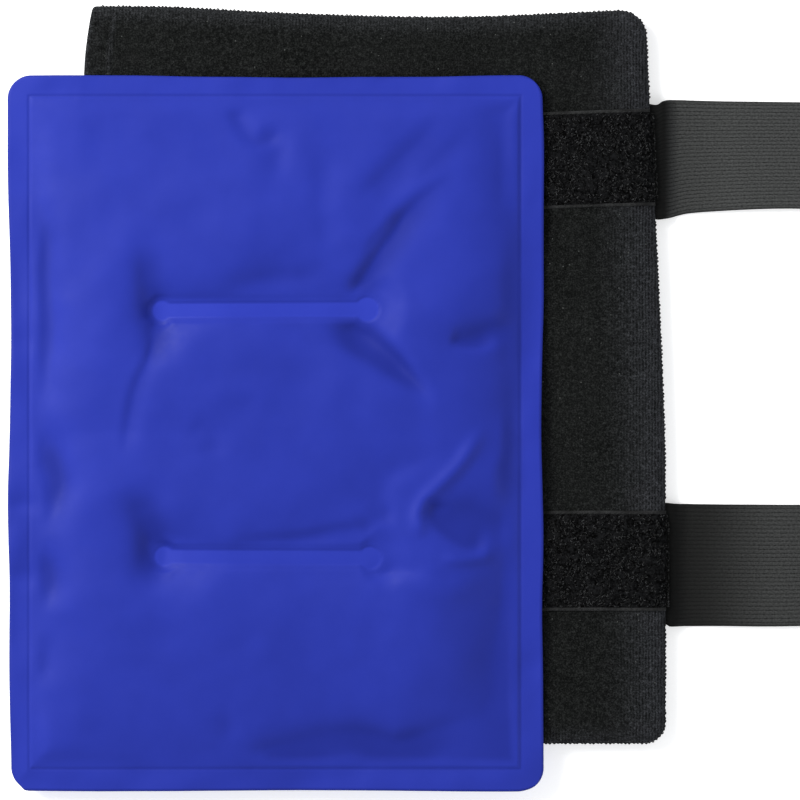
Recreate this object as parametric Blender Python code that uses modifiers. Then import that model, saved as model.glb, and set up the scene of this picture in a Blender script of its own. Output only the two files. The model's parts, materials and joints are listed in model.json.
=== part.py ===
"""Cold compression wrap.

A flat pocket cover of foam-backed knit lies face up. Two loop tapes cross its front, and two
elastic straps with hook tabs are sewn into its right-hand seam. A gel pack with two welded
baffles lies on the cover, pushed towards the lower left.

Origin: centre of the cover's underside. +X runs along the straps, +Y towards the cover's top
edge, +Z up from the surface that the wrap lies on.
"""

import math

import bmesh
import bpy
from mathutils import Vector

MM = 0.001

# ---- driving dimensions, in millimetres ----
GAP = 0.3  # clearance between neighbouring solids

KNIT_T = 0.6
FOAM_T = 2.0
LINING_T = 0.4
POCKET_T = 5.4  # clear height of the pocket

COVER_TOP_LEFT = (-148.9, 194.2)
COVER_BOTTOM_LEFT = (-153.0, -192.0)
COVER_TOP_SAG = 3.2  # the top edge dips a little between its corners
RIGHT_EDGE = (  # stations down the right-hand edge, top to bottom
    (143.2, 192.6),
    (145.3, 145.0),
    (148.4, 83.0),
    (152.6, -11.0),
    (153.6, -64.0),
    (153.6, -191.6),
)
TOP_RIGHT_R = 10.0
BOTTOM_RIGHT_R = 9.0
SEAM_W = 7.0
HEM_W = 13.7

TAPE_W = 50.8  # 2 inch loop tape
TAPE_PILE_W = 46.0
TAPE_BACK_T = 0.8
TAPE_T = 1.6
TAPE_X0 = -134.0
TAPE_END_INSET = 3.0

STRAP_W = 62.0
STRAP_T = 1.6
STRAP_FREE = 457.0  # 18 inches of elastic past the cover's edge
STRAP_END_LAP = 20.0  # the last of it is sewn over the hook tab
STRAP_STANDOFF = 3.0  # from the cover's edge to the fold line
STRAP_DROP_RUN = 6.0  # the strap drops to the surface within this

TAB_W = 50.0
TAB_L = 90.0
TAB_T = 1.8
TAB_START = 6.3  # past its fold line
TAB_END_R = 14.0

UPPER_Y = 115.0
LOWER_Y = -96.5
UPPER_EDGE_X = 148.4
LOWER_EDGE_X = 153.6

PACK_W = 279.4  # 11 inches
PACK_H = 374.3
PACK_CENTRE = (-51.05, -28.55)
PACK_FLANGE = 10.8
PACK_CORNER_R = 9.5
PACK_T = 16.4
FILM_T = 0.5
FLANGE_RISE = 2.8  # from the pack's underside to the flange's
WELD_Y = 64.4
WELD_X = (-58.5, 49.0)
WELD_HALF = 3.4
WELD_DISC_R = (4.9, 5.9)
FILL_INSET = 5.5
FILM_CLEAR = 1.5

# ---- levels, from the surface up ----
Z_BACK_FOAM = KNIT_T + GAP
Z_BACK_LINING = Z_BACK_FOAM + FOAM_T + GAP
Z_POCKET = Z_BACK_LINING + LINING_T
Z_FRONT_LINING = Z_POCKET + POCKET_T
Z_FRONT_FOAM = Z_FRONT_LINING + LINING_T + GAP
Z_FRONT_KNIT = Z_FRONT_FOAM + FOAM_T + GAP
Z_COVER_TOP = Z_FRONT_KNIT + KNIT_T
Z_TAPE = Z_COVER_TOP + GAP
Z_STRAP_ROOT = Z_POCKET + POCKET_T / 2 - STRAP_T / 2
Z_FOLD = Z_STRAP_ROOT + STRAP_T + GAP
Z_TAB_FOLD = STRAP_T + GAP
Z_PACK = Z_TAPE + TAPE_T + GAP
Z_FLANGE = Z_PACK + FLANGE_RISE

# ---- clean start ----
for old in list(bpy.data.objects):
    bpy.data.objects.remove(old, do_unlink=True)

parts = bpy.data.collections.new("cold_compression_wrap")
cutters = bpy.data.collections.new("cutters")
bpy.context.scene.collection.children.link(parts)
bpy.context.scene.collection.children.link(cutters)


def material(name, colour, roughness):
    made = bpy.data.materials.new(name)
    made.use_nodes = True
    shader = made.node_tree.nodes["Principled BSDF"]
    shader.inputs["Base Color"].default_value = (*colour, 1.0)
    shader.inputs["Roughness"].default_value = roughness
    shader.inputs["Metallic"].default_value = 0.0
    made.diffuse_color = (*colour, 1.0)
    return made


KNIT = material("black_knit", (0.013, 0.0135, 0.0135), 0.9)
FOAM = material("black_foam", (0.02, 0.02, 0.02), 0.95)
LINING = material("black_lining", (0.016, 0.016, 0.017), 0.7)
LOOP = material("black_loop_pile", (0.007, 0.007, 0.0075), 0.85)
THREAD = material("black_thread", (0.03, 0.03, 0.032), 0.6)
ELASTIC = material("grey_elastic", (0.05, 0.052, 0.052), 0.8)
HOOK = material("black_hook_tape", (0.01, 0.01, 0.01), 0.5)
FILM = material("blue_film", (0.031, 0.05, 0.42), 0.38)
GEL = material("blue_gel", (0.05, 0.10, 0.50), 0.3)


def placed(obj, finish, parent=None, collection=None):
    """Links an object, gives it its material and hangs it on its parent without moving it."""
    (collection or parts).objects.link(obj)
    if finish is not None:
        obj.data.materials.append(finish)
    if parent is not None:
        obj.parent = parent
        obj.location = obj.location - parent.location
    return obj


def pivot(name, x, y, z):
    """An empty on a fold line or a slide axis."""
    empty = bpy.data.objects.new(name, None)
    empty.empty_display_size = 20 * MM
    empty.location = (x * MM, y * MM, z * MM)
    parts.objects.link(empty)
    return empty


def flat_curve(name, loops, half, centre, turn=(0.0, 0.0, 0.0)):
    """A filled 2D outline, extruded by half its thickness each way; loops after the first are holes."""
    curve = bpy.data.curves.new(name, "CURVE")
    curve.dimensions = "2D"
    curve.fill_mode = "BOTH"
    curve.extrude = half * MM
    for loop in loops:
        spline = curve.splines.new("POLY")
        spline.points.add(len(loop) - 1)
        for point, (u, v) in zip(spline.points, loop):
            point.co = (u * MM, v * MM, 0.0, 1.0)
        spline.use_cyclic_u = True
    obj = bpy.data.objects.new(name, curve)
    obj.location = tuple(c * MM for c in centre)
    obj.rotation_euler = turn
    return obj


def plate(name, loops, z0, z1, finish, parent=None, origin=(0.0, 0.0)):
    """A flat piece with a vertical wall, from z0 up to z1."""
    moved = [[(x - origin[0], y - origin[1]) for x, y in loop] for loop in loops]
    obj = flat_curve(name, moved, (z1 - z0) / 2, (*origin, (z0 + z1) / 2))
    return placed(obj, finish, parent)


def ribbon(name, section, y, width, origin, finish, parent=None):
    """A strip of webbing: its side outline in X and Z, given from its origin, and its width in Y."""
    obj = flat_curve(
        name,
        [section],
        width / 2,
        (origin[0], y, origin[1]),
        (math.pi / 2, 0.0, 0.0),
    )
    return placed(obj, finish, parent)


def as_mesh(obj):
    """The evaluated curve as a mesh object in the same place, its caps welded."""
    bpy.context.view_layer.update()
    graph = bpy.context.evaluated_depsgraph_get()
    mesh = bpy.data.meshes.new_from_object(obj.evaluated_get(graph))
    work = bmesh.new()
    work.from_mesh(mesh)
    bmesh.ops.remove_doubles(work, verts=work.verts, dist=1e-6)
    bmesh.ops.recalc_face_normals(work, faces=work.faces)
    work.to_mesh(mesh)
    work.free()
    name, matrix, home = obj.name, obj.matrix_world.copy(), obj.users_collection[0]
    bpy.data.objects.remove(obj, do_unlink=True)
    made = bpy.data.objects.new(name, mesh)
    made.matrix_world = matrix
    home.objects.link(made)
    return made


def box_cutter(name, low, high):
    mesh = bpy.data.meshes.new(name)
    work = bmesh.new()
    bmesh.ops.create_cube(work, size=1.0)
    size = [(b - a) * MM for a, b in zip(low, high)]
    bmesh.ops.scale(work, vec=size, verts=work.verts)
    work.to_mesh(mesh)
    work.free()
    obj = bpy.data.objects.new(name, mesh)
    obj.location = tuple((a + b) / 2 * MM for a, b in zip(low, high))
    obj.hide_render = True
    obj.display_type = "WIRE"
    cutters.objects.link(obj)
    return obj


def cut(obj, tool, operation="DIFFERENCE"):
    modifier = obj.modifiers.new(operation.lower() + "_" + tool.name, "BOOLEAN")
    modifier.operation = operation
    modifier.object = tool


# ---- outline of the cover ----
def smooth_through(stations, steps):
    """Catmull-Rom points through the stations."""
    padded = [stations[0], *stations, stations[-1]]
    points = []
    for i in range(len(stations) - 1):
        p0, p1, p2, p3 = (Vector(p) for p in padded[i : i + 4])
        for s in range(steps):
            t = s / steps
            points.append(
                0.5
                * (
                    2 * p1
                    + (p2 - p0) * t
                    + (2 * p0 - 5 * p1 + 4 * p2 - p3) * t * t
                    + (3 * p1 - p0 - 3 * p2 + p3) * t**3
                )
            )
    points.append(Vector(stations[-1]))
    return points


def fillet(corner, before, after, radius, steps=5):
    """Arc points that round a corner off between the two edges that meet there."""
    corner = Vector(corner)
    a = (Vector(before) - corner).normalized()
    b = (Vector(after) - corner).normalized()
    half = a.angle(b) / 2
    centre = corner + (a + b).normalized() * radius / math.sin(half)
    start = corner + a * radius / math.tan(half)
    end = corner + b * radius / math.tan(half)
    u, v = start - centre, end - centre
    turn = u.angle(v)
    return [
        centre
        + (u * math.sin((1 - s / steps) * turn) + v * math.sin(s / steps * turn))
        / math.sin(turn)
        for s in range(steps + 1)
    ]


def closed_edges():
    """Top, right and bottom edge as one run of points from the mouth round to the mouth, with the index where each seam ends."""
    left, corner = Vector(COVER_TOP_LEFT), Vector(RIGHT_EDGE[0])
    top = []
    for s in range(9):
        t = s / 8 * (1 - TOP_RIGHT_R * 1.3 / (corner - left).length)
        sag = COVER_TOP_SAG * 4 * t * (1 - t) * (0.7 + 0.6 * t)
        top.append(left.lerp(corner, t) - Vector((0, sag)))
    right = smooth_through(RIGHT_EDGE, 3)[1:-1]
    low = Vector(RIGHT_EDGE[-1])
    arc_a = fillet(corner, top[-1], right[0], TOP_RIGHT_R)
    arc_b = fillet(low, right[-1], (0.0, low.y), BOTTOM_RIGHT_R)
    mouth = Vector(COVER_BOTTOM_LEFT)
    bottom = [
        Vector((low.x - BOTTOM_RIGHT_R, low.y)).lerp(mouth, s / 6) for s in range(1, 7)
    ]
    run = top + arc_a[1:] + right + arc_b[1:] + bottom
    return run, len(top) + 2, len(top) + len(arc_a) + len(right) + 2


EDGE, TOP_ENDS, RIGHT_ENDS = closed_edges()


def shifted(run, outward):
    """The run moved sideways; it goes clockwise, so outward is to its left."""
    moved = []
    for i, point in enumerate(run):
        ahead = (run[min(i + 1, len(run) - 1)] - run[max(i - 1, 0)]).normalized()
        moved.append(point + Vector((-ahead.y, ahead.x)) * outward)
    return moved


def mouth_x(y):
    (x1, y1), (x0, y0) = COVER_TOP_LEFT, COVER_BOTTOM_LEFT
    return x0 + (x1 - x0) * (y - y0) / (y1 - y0)


def trimmed_at_mouth(run, inset):
    """The run with its ends moved along it, this far in from the mouth."""
    kept = [p for p in run if p.x > mouth_x(p.y) + inset + 1.0]
    first = Vector((mouth_x(run[0].y) + inset, run[0].y))
    last = Vector((mouth_x(run[-1].y) + inset, run[-1].y))
    blend = inset / (kept[0].x - run[0].x)
    first.y += (kept[0].y - run[0].y) * blend
    return [first, *kept, last]


def pairs(points):
    return [(p[0], p[1]) for p in points]


PANEL = pairs(trimmed_at_mouth(EDGE, HEM_W + GAP))

# ---- cover: two foam-backed knit panels with a lining each ----
plate("cover_back_knit", [PANEL], 0.0, KNIT_T, KNIT)
plate("cover_back_foam", [PANEL], Z_BACK_FOAM, Z_BACK_FOAM + FOAM_T, FOAM)
plate("cover_back_lining", [PANEL], Z_BACK_LINING, Z_BACK_LINING + LINING_T, LINING)
plate("cover_front_lining", [PANEL], Z_FRONT_LINING, Z_FRONT_LINING + LINING_T, LINING)
plate("cover_front_foam", [PANEL], Z_FRONT_FOAM, Z_FRONT_FOAM + FOAM_T, FOAM)
plate("cover_front_knit", [PANEL], Z_FRONT_KNIT, Z_COVER_TOP, KNIT)

# hems that bind the two edges of the pocket's mouth
mouth_top = EDGE[0]
mouth_low = EDGE[-1]
hem = [
    (mouth_top.x, mouth_top.y),
    (mouth_top.x + HEM_W, mouth_top.y - 0.4),
    (mouth_low.x + HEM_W, mouth_low.y),
    (mouth_low.x, mouth_low.y),
]
plate("mouth_hem_back", [hem], 0.0, Z_POCKET, KNIT)
plate("mouth_hem_front", [hem], Z_FRONT_LINING, Z_COVER_TOP, KNIT)
hem_row = [
    (mouth_top.x + HEM_W - 1.9, mouth_top.y - 3.0),
    (mouth_top.x + HEM_W - 1.1, mouth_top.y - 3.0),
    (mouth_low.x + HEM_W - 1.1, mouth_low.y + 3.0),
    (mouth_low.x + HEM_W - 1.9, mouth_low.y + 3.0),
]
plate("mouth_hem_stitching", [hem_row], Z_TAPE, Z_TAPE + 0.4, THREAD)

# turned seam allowances that join the panels along the three closed edges
seam_low, seam_high = Z_POCKET + GAP, Z_FRONT_LINING - GAP
inner = shifted(EDGE, -SEAM_W)


def seam(name, first, last):
    band = pairs(EDGE[first:last]) + pairs(reversed(inner[first:last]))
    return plate(name, [band], seam_low, seam_high, KNIT)


seam("seam_top_edge", 0, TOP_ENDS)
seam("seam_bottom_edge", RIGHT_ENDS + 1, len(EDGE))
right_seam = as_mesh(seam("seam_right_edge", TOP_ENDS, RIGHT_ENDS + 1))
for label, y in (("upper", UPPER_Y), ("lower", LOWER_Y)):
    slot = box_cutter(
        label + "_strap_slot",
        (100.0, y - STRAP_W / 2 - GAP, Z_STRAP_ROOT - GAP),
        (200.0, y + STRAP_W / 2 + GAP, Z_STRAP_ROOT + STRAP_T + GAP),
    )
    cut(right_seam, slot)

# overlock thread round the closed edges, just outside the panels
outer = shifted(EDGE, 1.2)
inside = shifted(EDGE, GAP)
plate(
    "edge_overlock_thread",
    [pairs(outer) + pairs(reversed(inside))],
    Z_FRONT_LINING,
    Z_FRONT_LINING + 1.0,
    THREAD,
)


# ---- loop tapes sewn across the front ----
def rectangle(x0, x1, y0, y1):
    return [(x0, y0), (x1, y0), (x1, y1), (x0, y1)]


def loop_tape(label, y, edge_x):
    x1 = edge_x - TAPE_END_INSET
    half, pile = TAPE_W / 2, TAPE_PILE_W / 2
    section = [  # a selvedge on each side of the raised pile
        (-half, 0.0),
        (half, 0.0),
        (half, TAPE_BACK_T),
        (pile, TAPE_BACK_T),
        (pile - 0.5, TAPE_T),
        (0.5 - pile, TAPE_T),
        (-pile, TAPE_BACK_T),
        (-half, TAPE_BACK_T),
    ]
    tape = flat_curve(
        label + "_loop_tape",
        [section],
        (x1 - TAPE_X0) / 2,
        ((TAPE_X0 + x1) / 2, y, Z_TAPE),
        (math.pi / 2, 0.0, math.pi / 2),
    )
    placed(tape, LOOP)
    # one line of thread along both selvedges, joined across the mouth end
    row = half - (half - pile) / 2
    w = 0.35
    path = [
        (x1 - 2.0, y + row + w),
        (TAPE_X0 - 2.0, y + row + w),
        (TAPE_X0 - 2.0, y - row - w),
        (x1 - 2.0, y - row - w),
        (x1 - 2.0, y - row + w),
        (TAPE_X0 - 1.3, y - row + w),
        (TAPE_X0 - 1.3, y + row - w),
        (x1 - 2.0, y + row - w),
    ]
    z0 = Z_TAPE + TAPE_BACK_T + GAP
    plate(label + "_loop_tape_stitching", [path], z0, z0 + 0.4, THREAD)


loop_tape("upper", UPPER_Y, RIGHT_EDGE[1][0])
loop_tape("lower", LOWER_Y, LOWER_EDGE_X)


# ---- elastic straps and hook tabs ----
def strap(label, y, edge_x):
    fold_x = edge_x + STRAP_STANDOFF
    root = rectangle(
        edge_x - SEAM_W - fold_x + 3.2, -GAP, Z_STRAP_ROOT - Z_FOLD, -GAP
    )
    ribbon(label + "_strap_root", root, y, STRAP_W, (fold_x, Z_FOLD), ELASTIC)

    fold = pivot(label + "_strap_fold", fold_x, y, Z_FOLD)
    tab_x = fold_x + STRAP_FREE - STRAP_END_LAP
    top = [(GAP, -GAP)]
    under = [(GAP, -GAP - STRAP_T)]
    steps = 5
    for s in range(1, steps + 1):  # an S-shaped drop to the surface
        t = s / steps
        ease = t * t * (3 - 2 * t)
        x = GAP + (STRAP_DROP_RUN - GAP) * t
        z = -GAP + (STRAP_T + GAP - Z_FOLD) * ease
        top.append((x, z))
        under.append((x - STRAP_T * 0.55 * math.sin(math.pi * t), z - STRAP_T))
    end = tab_x - fold_x - GAP
    under[-1] = (under[-1][0], -Z_FOLD)
    section = top + [(end, STRAP_T - Z_FOLD), (end, -Z_FOLD)] + under[::-1]
    ribbon(label + "_strap", section, y, STRAP_W, (fold_x, Z_FOLD), ELASTIC, fold)

    # the elastic's end, the hook tape under it and the box of stitches over it peel up together
    peel = pivot(label + "_tab_peel", tab_x, y, Z_TAB_FOLD)
    rise = TAB_T + GAP
    z0 = -Z_TAB_FOLD
    lap = [
        (GAP, z0 + STRAP_T),
        (2.0, z0 + STRAP_T),
        (5.6, z0 + rise + STRAP_T),
        (STRAP_END_LAP, z0 + rise + STRAP_T),
        (STRAP_END_LAP, z0 + rise),
        (TAB_START, z0 + rise),
        (2.6, z0),
        (GAP, z0),
    ]
    ribbon(
        label + "_strap_end", lap, y, STRAP_W, (tab_x, Z_TAB_FOLD), ELASTIC, peel
    )
    x0, x1, half = tab_x + TAB_START, tab_x + TAB_START + TAB_L, TAB_W / 2
    tab = [(x0, y - half), (x1 - TAB_END_R, y - half)]
    for s in range(1, 12):
        a = -math.pi / 2 + math.pi * s / 12
        cy = y + (half - TAB_END_R) * (-1 if s < 6 else (0 if s == 6 else 1))
        tab.append((x1 - TAB_END_R + TAB_END_R * math.cos(a), cy + TAB_END_R * math.sin(a)))
    tab += [(x1 - TAB_END_R, y + half), (x0, y + half)]
    plate(label + "_hook_tab", [tab], 0.0, TAB_T, HOOK, peel, (tab_x, y))

    # a box with a cross in it: one outline with four triangular openings
    bx0, bx1 = tab_x + TAB_START + 1.6, tab_x + STRAP_END_LAP - 1.6
    hy, w, d = TAB_W / 2 - 3.0, 0.7, 1.1
    mx = (bx0 + bx1) / 2
    run, climb = (bx1 - bx0) / 2 - w, hy - w
    k = d * math.hypot(run, climb) / climb / 2  # half the cross's width along X
    j = d * math.hypot(run, climb) / run / 2  # and along Y
    openings = [
        [(mx - run + k, y - hy + w), (mx + run - k, y - hy + w), (mx, y - j)],
        [(mx + run - k, y + hy - w), (mx - run + k, y + hy - w), (mx, y + j)],
        [(bx0 + w, y + hy - w - j), (bx0 + w, y - hy + w + j), (mx - k, y)],
        [(bx1 - w, y - hy + w + j), (bx1 - w, y + hy - w - j), (mx + k, y)],
    ]
    z1 = rise + STRAP_T + GAP
    plate(
        label + "_hook_tab_stitching",
        [rectangle(bx0, bx1, y - hy, y + hy), *openings],
        z1,
        z1 + 0.4,
        THREAD,
        peel,
        (tab_x, y),
    )


strap("upper", UPPER_Y, UPPER_EDGE_X)
strap("lower", LOWER_Y, LOWER_EDGE_X)


# ---- gel pack: two films welded round the edge and along two baffles, with gel between ----
HALF_W, HALF_H = PACK_W / 2, PACK_H / 2
SEAL_W, SEAL_H = HALF_W - PACK_FLANGE, HALF_H - PACK_FLANGE


def weld_distance(x, y):
    """Distance from a point to the nearer dumbbell-shaped weld, 0 inside it."""
    best = math.inf
    for side in (-1, 1):
        cy = WELD_Y * side
        dx = max(WELD_X[0] - x, 0.0, x - WELD_X[1])
        best = min(best, math.hypot(dx, max(abs(y - cy) - WELD_HALF, 0.0)))
        for cx, r in zip(WELD_X, WELD_DISC_R):
            best = min(best, math.hypot(x - cx, y - cy) - r)
    return max(best, 0.0)


def swell(x, y, edge_reach, weld_reach):
    """How full the pack is at a point: 0 on the seal and the welds, 1 where it is fullest."""

    def crown(distance, reach):
        t = min(max(distance / reach, 0.0), 1.0)
        return math.sqrt(1.0 - (1.0 - t) ** 2)

    to_seal = min(SEAL_W - abs(x), SEAL_H - abs(y))
    return crown(to_seal, edge_reach) * crown(weld_distance(x, y), weld_reach)


def lines(stops, step):
    """Grid lines through every stop, with even steps between them."""
    found = []
    for a, b in zip(stops, stops[1:]):
        n = max(1, math.ceil((b - a) / step - 1e-6))
        found += [a + (b - a) * i / n for i in range(n)]
    return [*found, stops[-1]]


WELD_STOPS = ((-1, 20.0), (-1, 7.0), (-1, 0.0), (1, 0.0), (1, 7.0), (1, 20.0))


def pack_lines(half_w, half_h):
    xs = lines(
        [
            -half_w,
            -SEAL_W,
            -SEAL_W + FILL_INSET,
            -SEAL_W + 18.0,
            WELD_X[0] - 16.0,
            WELD_X[0] - WELD_DISC_R[0],
            WELD_X[0] + 8.0,
            WELD_X[1] - 8.0,
            WELD_X[1] + WELD_DISC_R[1],
            WELD_X[1] + 16.0,
            SEAL_W - 18.0,
            SEAL_W - FILL_INSET,
            SEAL_W,
            half_w,
        ],
        30.0,
    )
    weld = [WELD_Y + side * (WELD_HALF + d) for side, d in WELD_STOPS]
    ys = lines(
        [
            -half_h,
            -SEAL_H,
            -SEAL_H + FILL_INSET,
            -SEAL_H + 18.0,
            *[-v for v in reversed(weld)],
            *weld,
            SEAL_H - 18.0,
            SEAL_H - FILL_INSET,
            SEAL_H,
            half_h,
        ],
        30.0,
    )
    return xs, ys


def grid(xs, ys, height):
    """A flat grid whose lines are moved to xs and ys and whose points are raised to height(x, y)."""
    work = bmesh.new()
    bmesh.ops.create_grid(
        work, x_segments=len(xs) - 1, y_segments=len(ys) - 1, size=0.5
    )
    for v in work.verts:
        i = round((v.co.x + 0.5) * (len(xs) - 1))
        k = round((v.co.y + 0.5) * (len(ys) - 1))
        x, y = xs[i], ys[k]
        v.co = (x * MM, y * MM, height(x, y) * MM)
    return work


def round_corners(work, xs, ys, radius):
    corners = [
        v
        for v in work.verts
        if abs(abs(v.co.x) - xs[-1] * MM) < 1e-6 and abs(abs(v.co.y) - ys[-1] * MM) < 1e-6
    ]
    bmesh.ops.bevel(
        work,
        geom=corners,
        offset=radius * MM,
        offset_type="OFFSET",
        segments=4,
        profile=0.5,
        affect="VERTICES",
    )


lift = pivot("gel_pack_lift", PACK_CENTRE[0], PACK_CENTRE[1], Z_PACK)
XS, YS = pack_lines(HALF_W, HALF_H)


def film(name, height, offset):
    work = grid(XS, YS, height)
    round_corners(work, XS, YS, PACK_CORNER_R)
    mesh = bpy.data.meshes.new(name)
    work.to_mesh(mesh)
    work.free()
    mesh.shade_smooth()
    obj = bpy.data.objects.new(name, mesh)
    obj.location = (PACK_CENTRE[0] * MM, PACK_CENTRE[1] * MM, 0.0)
    placed(obj, FILM, lift)
    wall = obj.modifiers.new("wall", "SOLIDIFY")
    wall.thickness = FILM_T * MM
    wall.offset = offset
    wall.use_even_offset = False
    return obj


def top_of(x, y):
    """The upper film's outer face."""
    base = Z_FLANGE + 2 * FILM_T + GAP
    return base + (Z_PACK + PACK_T - base) * swell(x, y, 46.0, 34.0)


def under_of(x, y):
    """The lower film's outer face, which the surface below presses flat."""
    return Z_FLANGE - FLANGE_RISE * swell(x, y, 14.0, 12.0)


film("gel_pack_top_film", top_of, -1.0)
film("gel_pack_bottom_film", under_of, 1.0)


def gel_fill():
    """The gel between the films, with a slot round each weld."""
    half_w, half_h = SEAL_W - FILL_INSET, SEAL_H - FILL_INSET
    xs = [x for x in XS if abs(x) < half_w + 0.1]
    ys = [y for y in YS if abs(y) < half_h + 0.1]

    def low(x, y):
        return under_of(x, y) + FILM_T + FILM_CLEAR

    def high(x, y):
        return max(top_of(x, y) - FILM_T - FILM_CLEAR, low(x, y) + 0.3)

    work = grid(xs, ys, high)
    upper = list(work.verts)
    made = bmesh.ops.extrude_face_region(work, geom=list(work.faces))
    lower = [g for g in made["geom"] if isinstance(g, bmesh.types.BMVert)]
    for v in lower:
        v.co.z = low(v.co.x / MM, v.co.y / MM) * MM
    assert len(lower) == len(upper)
    bmesh.ops.recalc_face_normals(work, faces=work.faces)
    mesh = bpy.data.meshes.new("gel_fill")
    work.to_mesh(mesh)
    work.free()
    obj = bpy.data.objects.new("gel_fill", mesh)
    obj.location = (PACK_CENTRE[0] * MM, PACK_CENTRE[1] * MM, 0.0)
    placed(obj, GEL, lift)
    return obj


def weld_cutter(name, side):
    """A dumbbell: a bar between two discs, with clearance round the weld."""
    clear = 7.3
    work = bmesh.new()
    x0, x1 = WELD_X
    bar = bmesh.ops.create_cube(work, size=1.0)["verts"]
    bmesh.ops.scale(
        work,
        vec=((x1 - x0) * MM, 2 * (WELD_HALF + clear) * MM, 40 * MM),
        verts=bar,
    )
    bmesh.ops.translate(
        work,
        vec=(((x0 + x1) / 2 + PACK_CENTRE[0]) * MM, 0.0, 0.0),
        verts=bar,
    )
    mesh = bpy.data.meshes.new(name)
    work.to_mesh(mesh)
    work.free()
    obj = bpy.data.objects.new(name, mesh)
    obj.location = (0.0, (side * WELD_Y + PACK_CENTRE[1]) * MM, Z_FLANGE * MM)
    obj.hide_render = True
    obj.display_type = "WIRE"
    cutters.objects.link(obj)
    discs = []
    for cx, r in zip(WELD_X, WELD_DISC_R):
        work = bmesh.new()
        bmesh.ops.create_cone(
            work,
            cap_ends=True,
            segments=16,
            radius1=(r + clear + 2.5) * MM,
            radius2=(r + clear + 2.5) * MM,
            depth=40 * MM,
        )
        disc_mesh = bpy.data.meshes.new(name + "_disc")
        work.to_mesh(disc_mesh)
        work.free()
        disc = bpy.data.objects.new(name + "_disc", disc_mesh)
        disc.location = (
            (cx + PACK_CENTRE[0]) * MM,
            (side * WELD_Y + PACK_CENTRE[1]) * MM,
            Z_FLANGE * MM,
        )
        disc.hide_render = True
        disc.display_type = "WIRE"
        cutters.objects.link(disc)
        discs.append(disc)
    return [obj, *discs]


gel = gel_fill()
for label, side in (("upper_weld", 1), ("lower_weld", -1)):
    for tool in weld_cutter(label, side):
        cut(gel, tool)

for obj in parts.objects:
    if obj.type == "CURVE":
        continue
    if obj.type == "MESH" and obj.name != "seam_right_edge":
        obj.data.set_sharp_from_angle(angle=math.radians(50))
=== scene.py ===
"""Looks of the cold compression wrap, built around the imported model."""

import json
import math

import bmesh
import bpy
import numpy as np
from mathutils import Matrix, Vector


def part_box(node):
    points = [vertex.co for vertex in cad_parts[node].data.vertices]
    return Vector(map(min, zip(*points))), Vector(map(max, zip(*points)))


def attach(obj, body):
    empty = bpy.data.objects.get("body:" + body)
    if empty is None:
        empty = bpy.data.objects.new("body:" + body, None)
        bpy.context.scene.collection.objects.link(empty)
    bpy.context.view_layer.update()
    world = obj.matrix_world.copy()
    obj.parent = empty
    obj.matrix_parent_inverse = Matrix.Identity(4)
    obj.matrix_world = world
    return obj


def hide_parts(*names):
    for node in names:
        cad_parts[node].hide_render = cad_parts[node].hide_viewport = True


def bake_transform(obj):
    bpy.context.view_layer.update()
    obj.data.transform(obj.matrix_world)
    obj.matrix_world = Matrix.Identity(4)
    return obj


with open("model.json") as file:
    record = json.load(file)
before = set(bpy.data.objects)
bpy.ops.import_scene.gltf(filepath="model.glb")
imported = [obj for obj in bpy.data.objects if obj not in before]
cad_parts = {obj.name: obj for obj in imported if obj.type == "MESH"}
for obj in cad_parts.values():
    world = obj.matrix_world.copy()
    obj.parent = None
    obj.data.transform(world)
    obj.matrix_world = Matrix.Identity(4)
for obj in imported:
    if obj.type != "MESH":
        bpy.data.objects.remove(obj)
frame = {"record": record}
scene = bpy.context.scene
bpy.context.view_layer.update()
MM = 0.001
RECORD = frame["record"]


def cad(node):
    """A CAD node's lowest and highest corner, in millimetres."""
    low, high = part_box(node)
    return np.array(low) / MM, np.array(high) / MM


JOINTS = {j["name"]: j for j in RECORD["behaviour"]["joints"]}


def joint_at(name):
    return np.array(JOINTS[name]["pos_m"]) / MM


# ---------------------------------------------------------------------------
# camera, floor and light
# ---------------------------------------------------------------------------
VIEW_CENTRE = (14.4, -11.5)
VIEW_WIDTH = 418.8
CAMERA_HEIGHT = 3.4
cam_data = bpy.data.cameras.new("camera")
cam_data.sensor_width = 36.0
cam_data.lens = 36.0 * CAMERA_HEIGHT / (VIEW_WIDTH * MM)
cam_data.clip_start, cam_data.clip_end = 0.05, 60.0
cam = bpy.data.objects.new("camera", cam_data)
cam.location = (VIEW_CENTRE[0] * MM, VIEW_CENTRE[1] * MM, CAMERA_HEIGHT + 0.014)
scene.collection.objects.link(cam)
scene.camera = cam
scene.view_settings.view_transform = "Standard"
scene.view_settings.look = "None"
scene.view_settings.exposure = 0.0
scene.view_settings.gamma = 1.0


def area_light(name, place, size, power, colour, aim=(0.0, 0.0, 0.0)):
    data = bpy.data.lights.new(name, "AREA")
    data.shape = "RECTANGLE"
    data.size, data.size_y = size
    data.energy = power
    data.color = colour
    light = bpy.data.objects.new(name, data)
    light.location = place
    light.rotation_mode = "QUATERNION"
    toward = (Vector(aim) - Vector(place)).normalized()
    light.rotation_quaternion = toward.to_track_quat("-Z", "Y")
    scene.collection.objects.link(light)
    return light


area_light("key", (-1.54, 1.02, 1.40), (1.2, 1.2), 72.0, (1.0, 0.995, 0.985))
area_light("fill", (2.0, -0.9, 1.6), (1.6, 1.6), 14.0, (0.95, 0.97, 1.0), (0.1, 0, 0))

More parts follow.
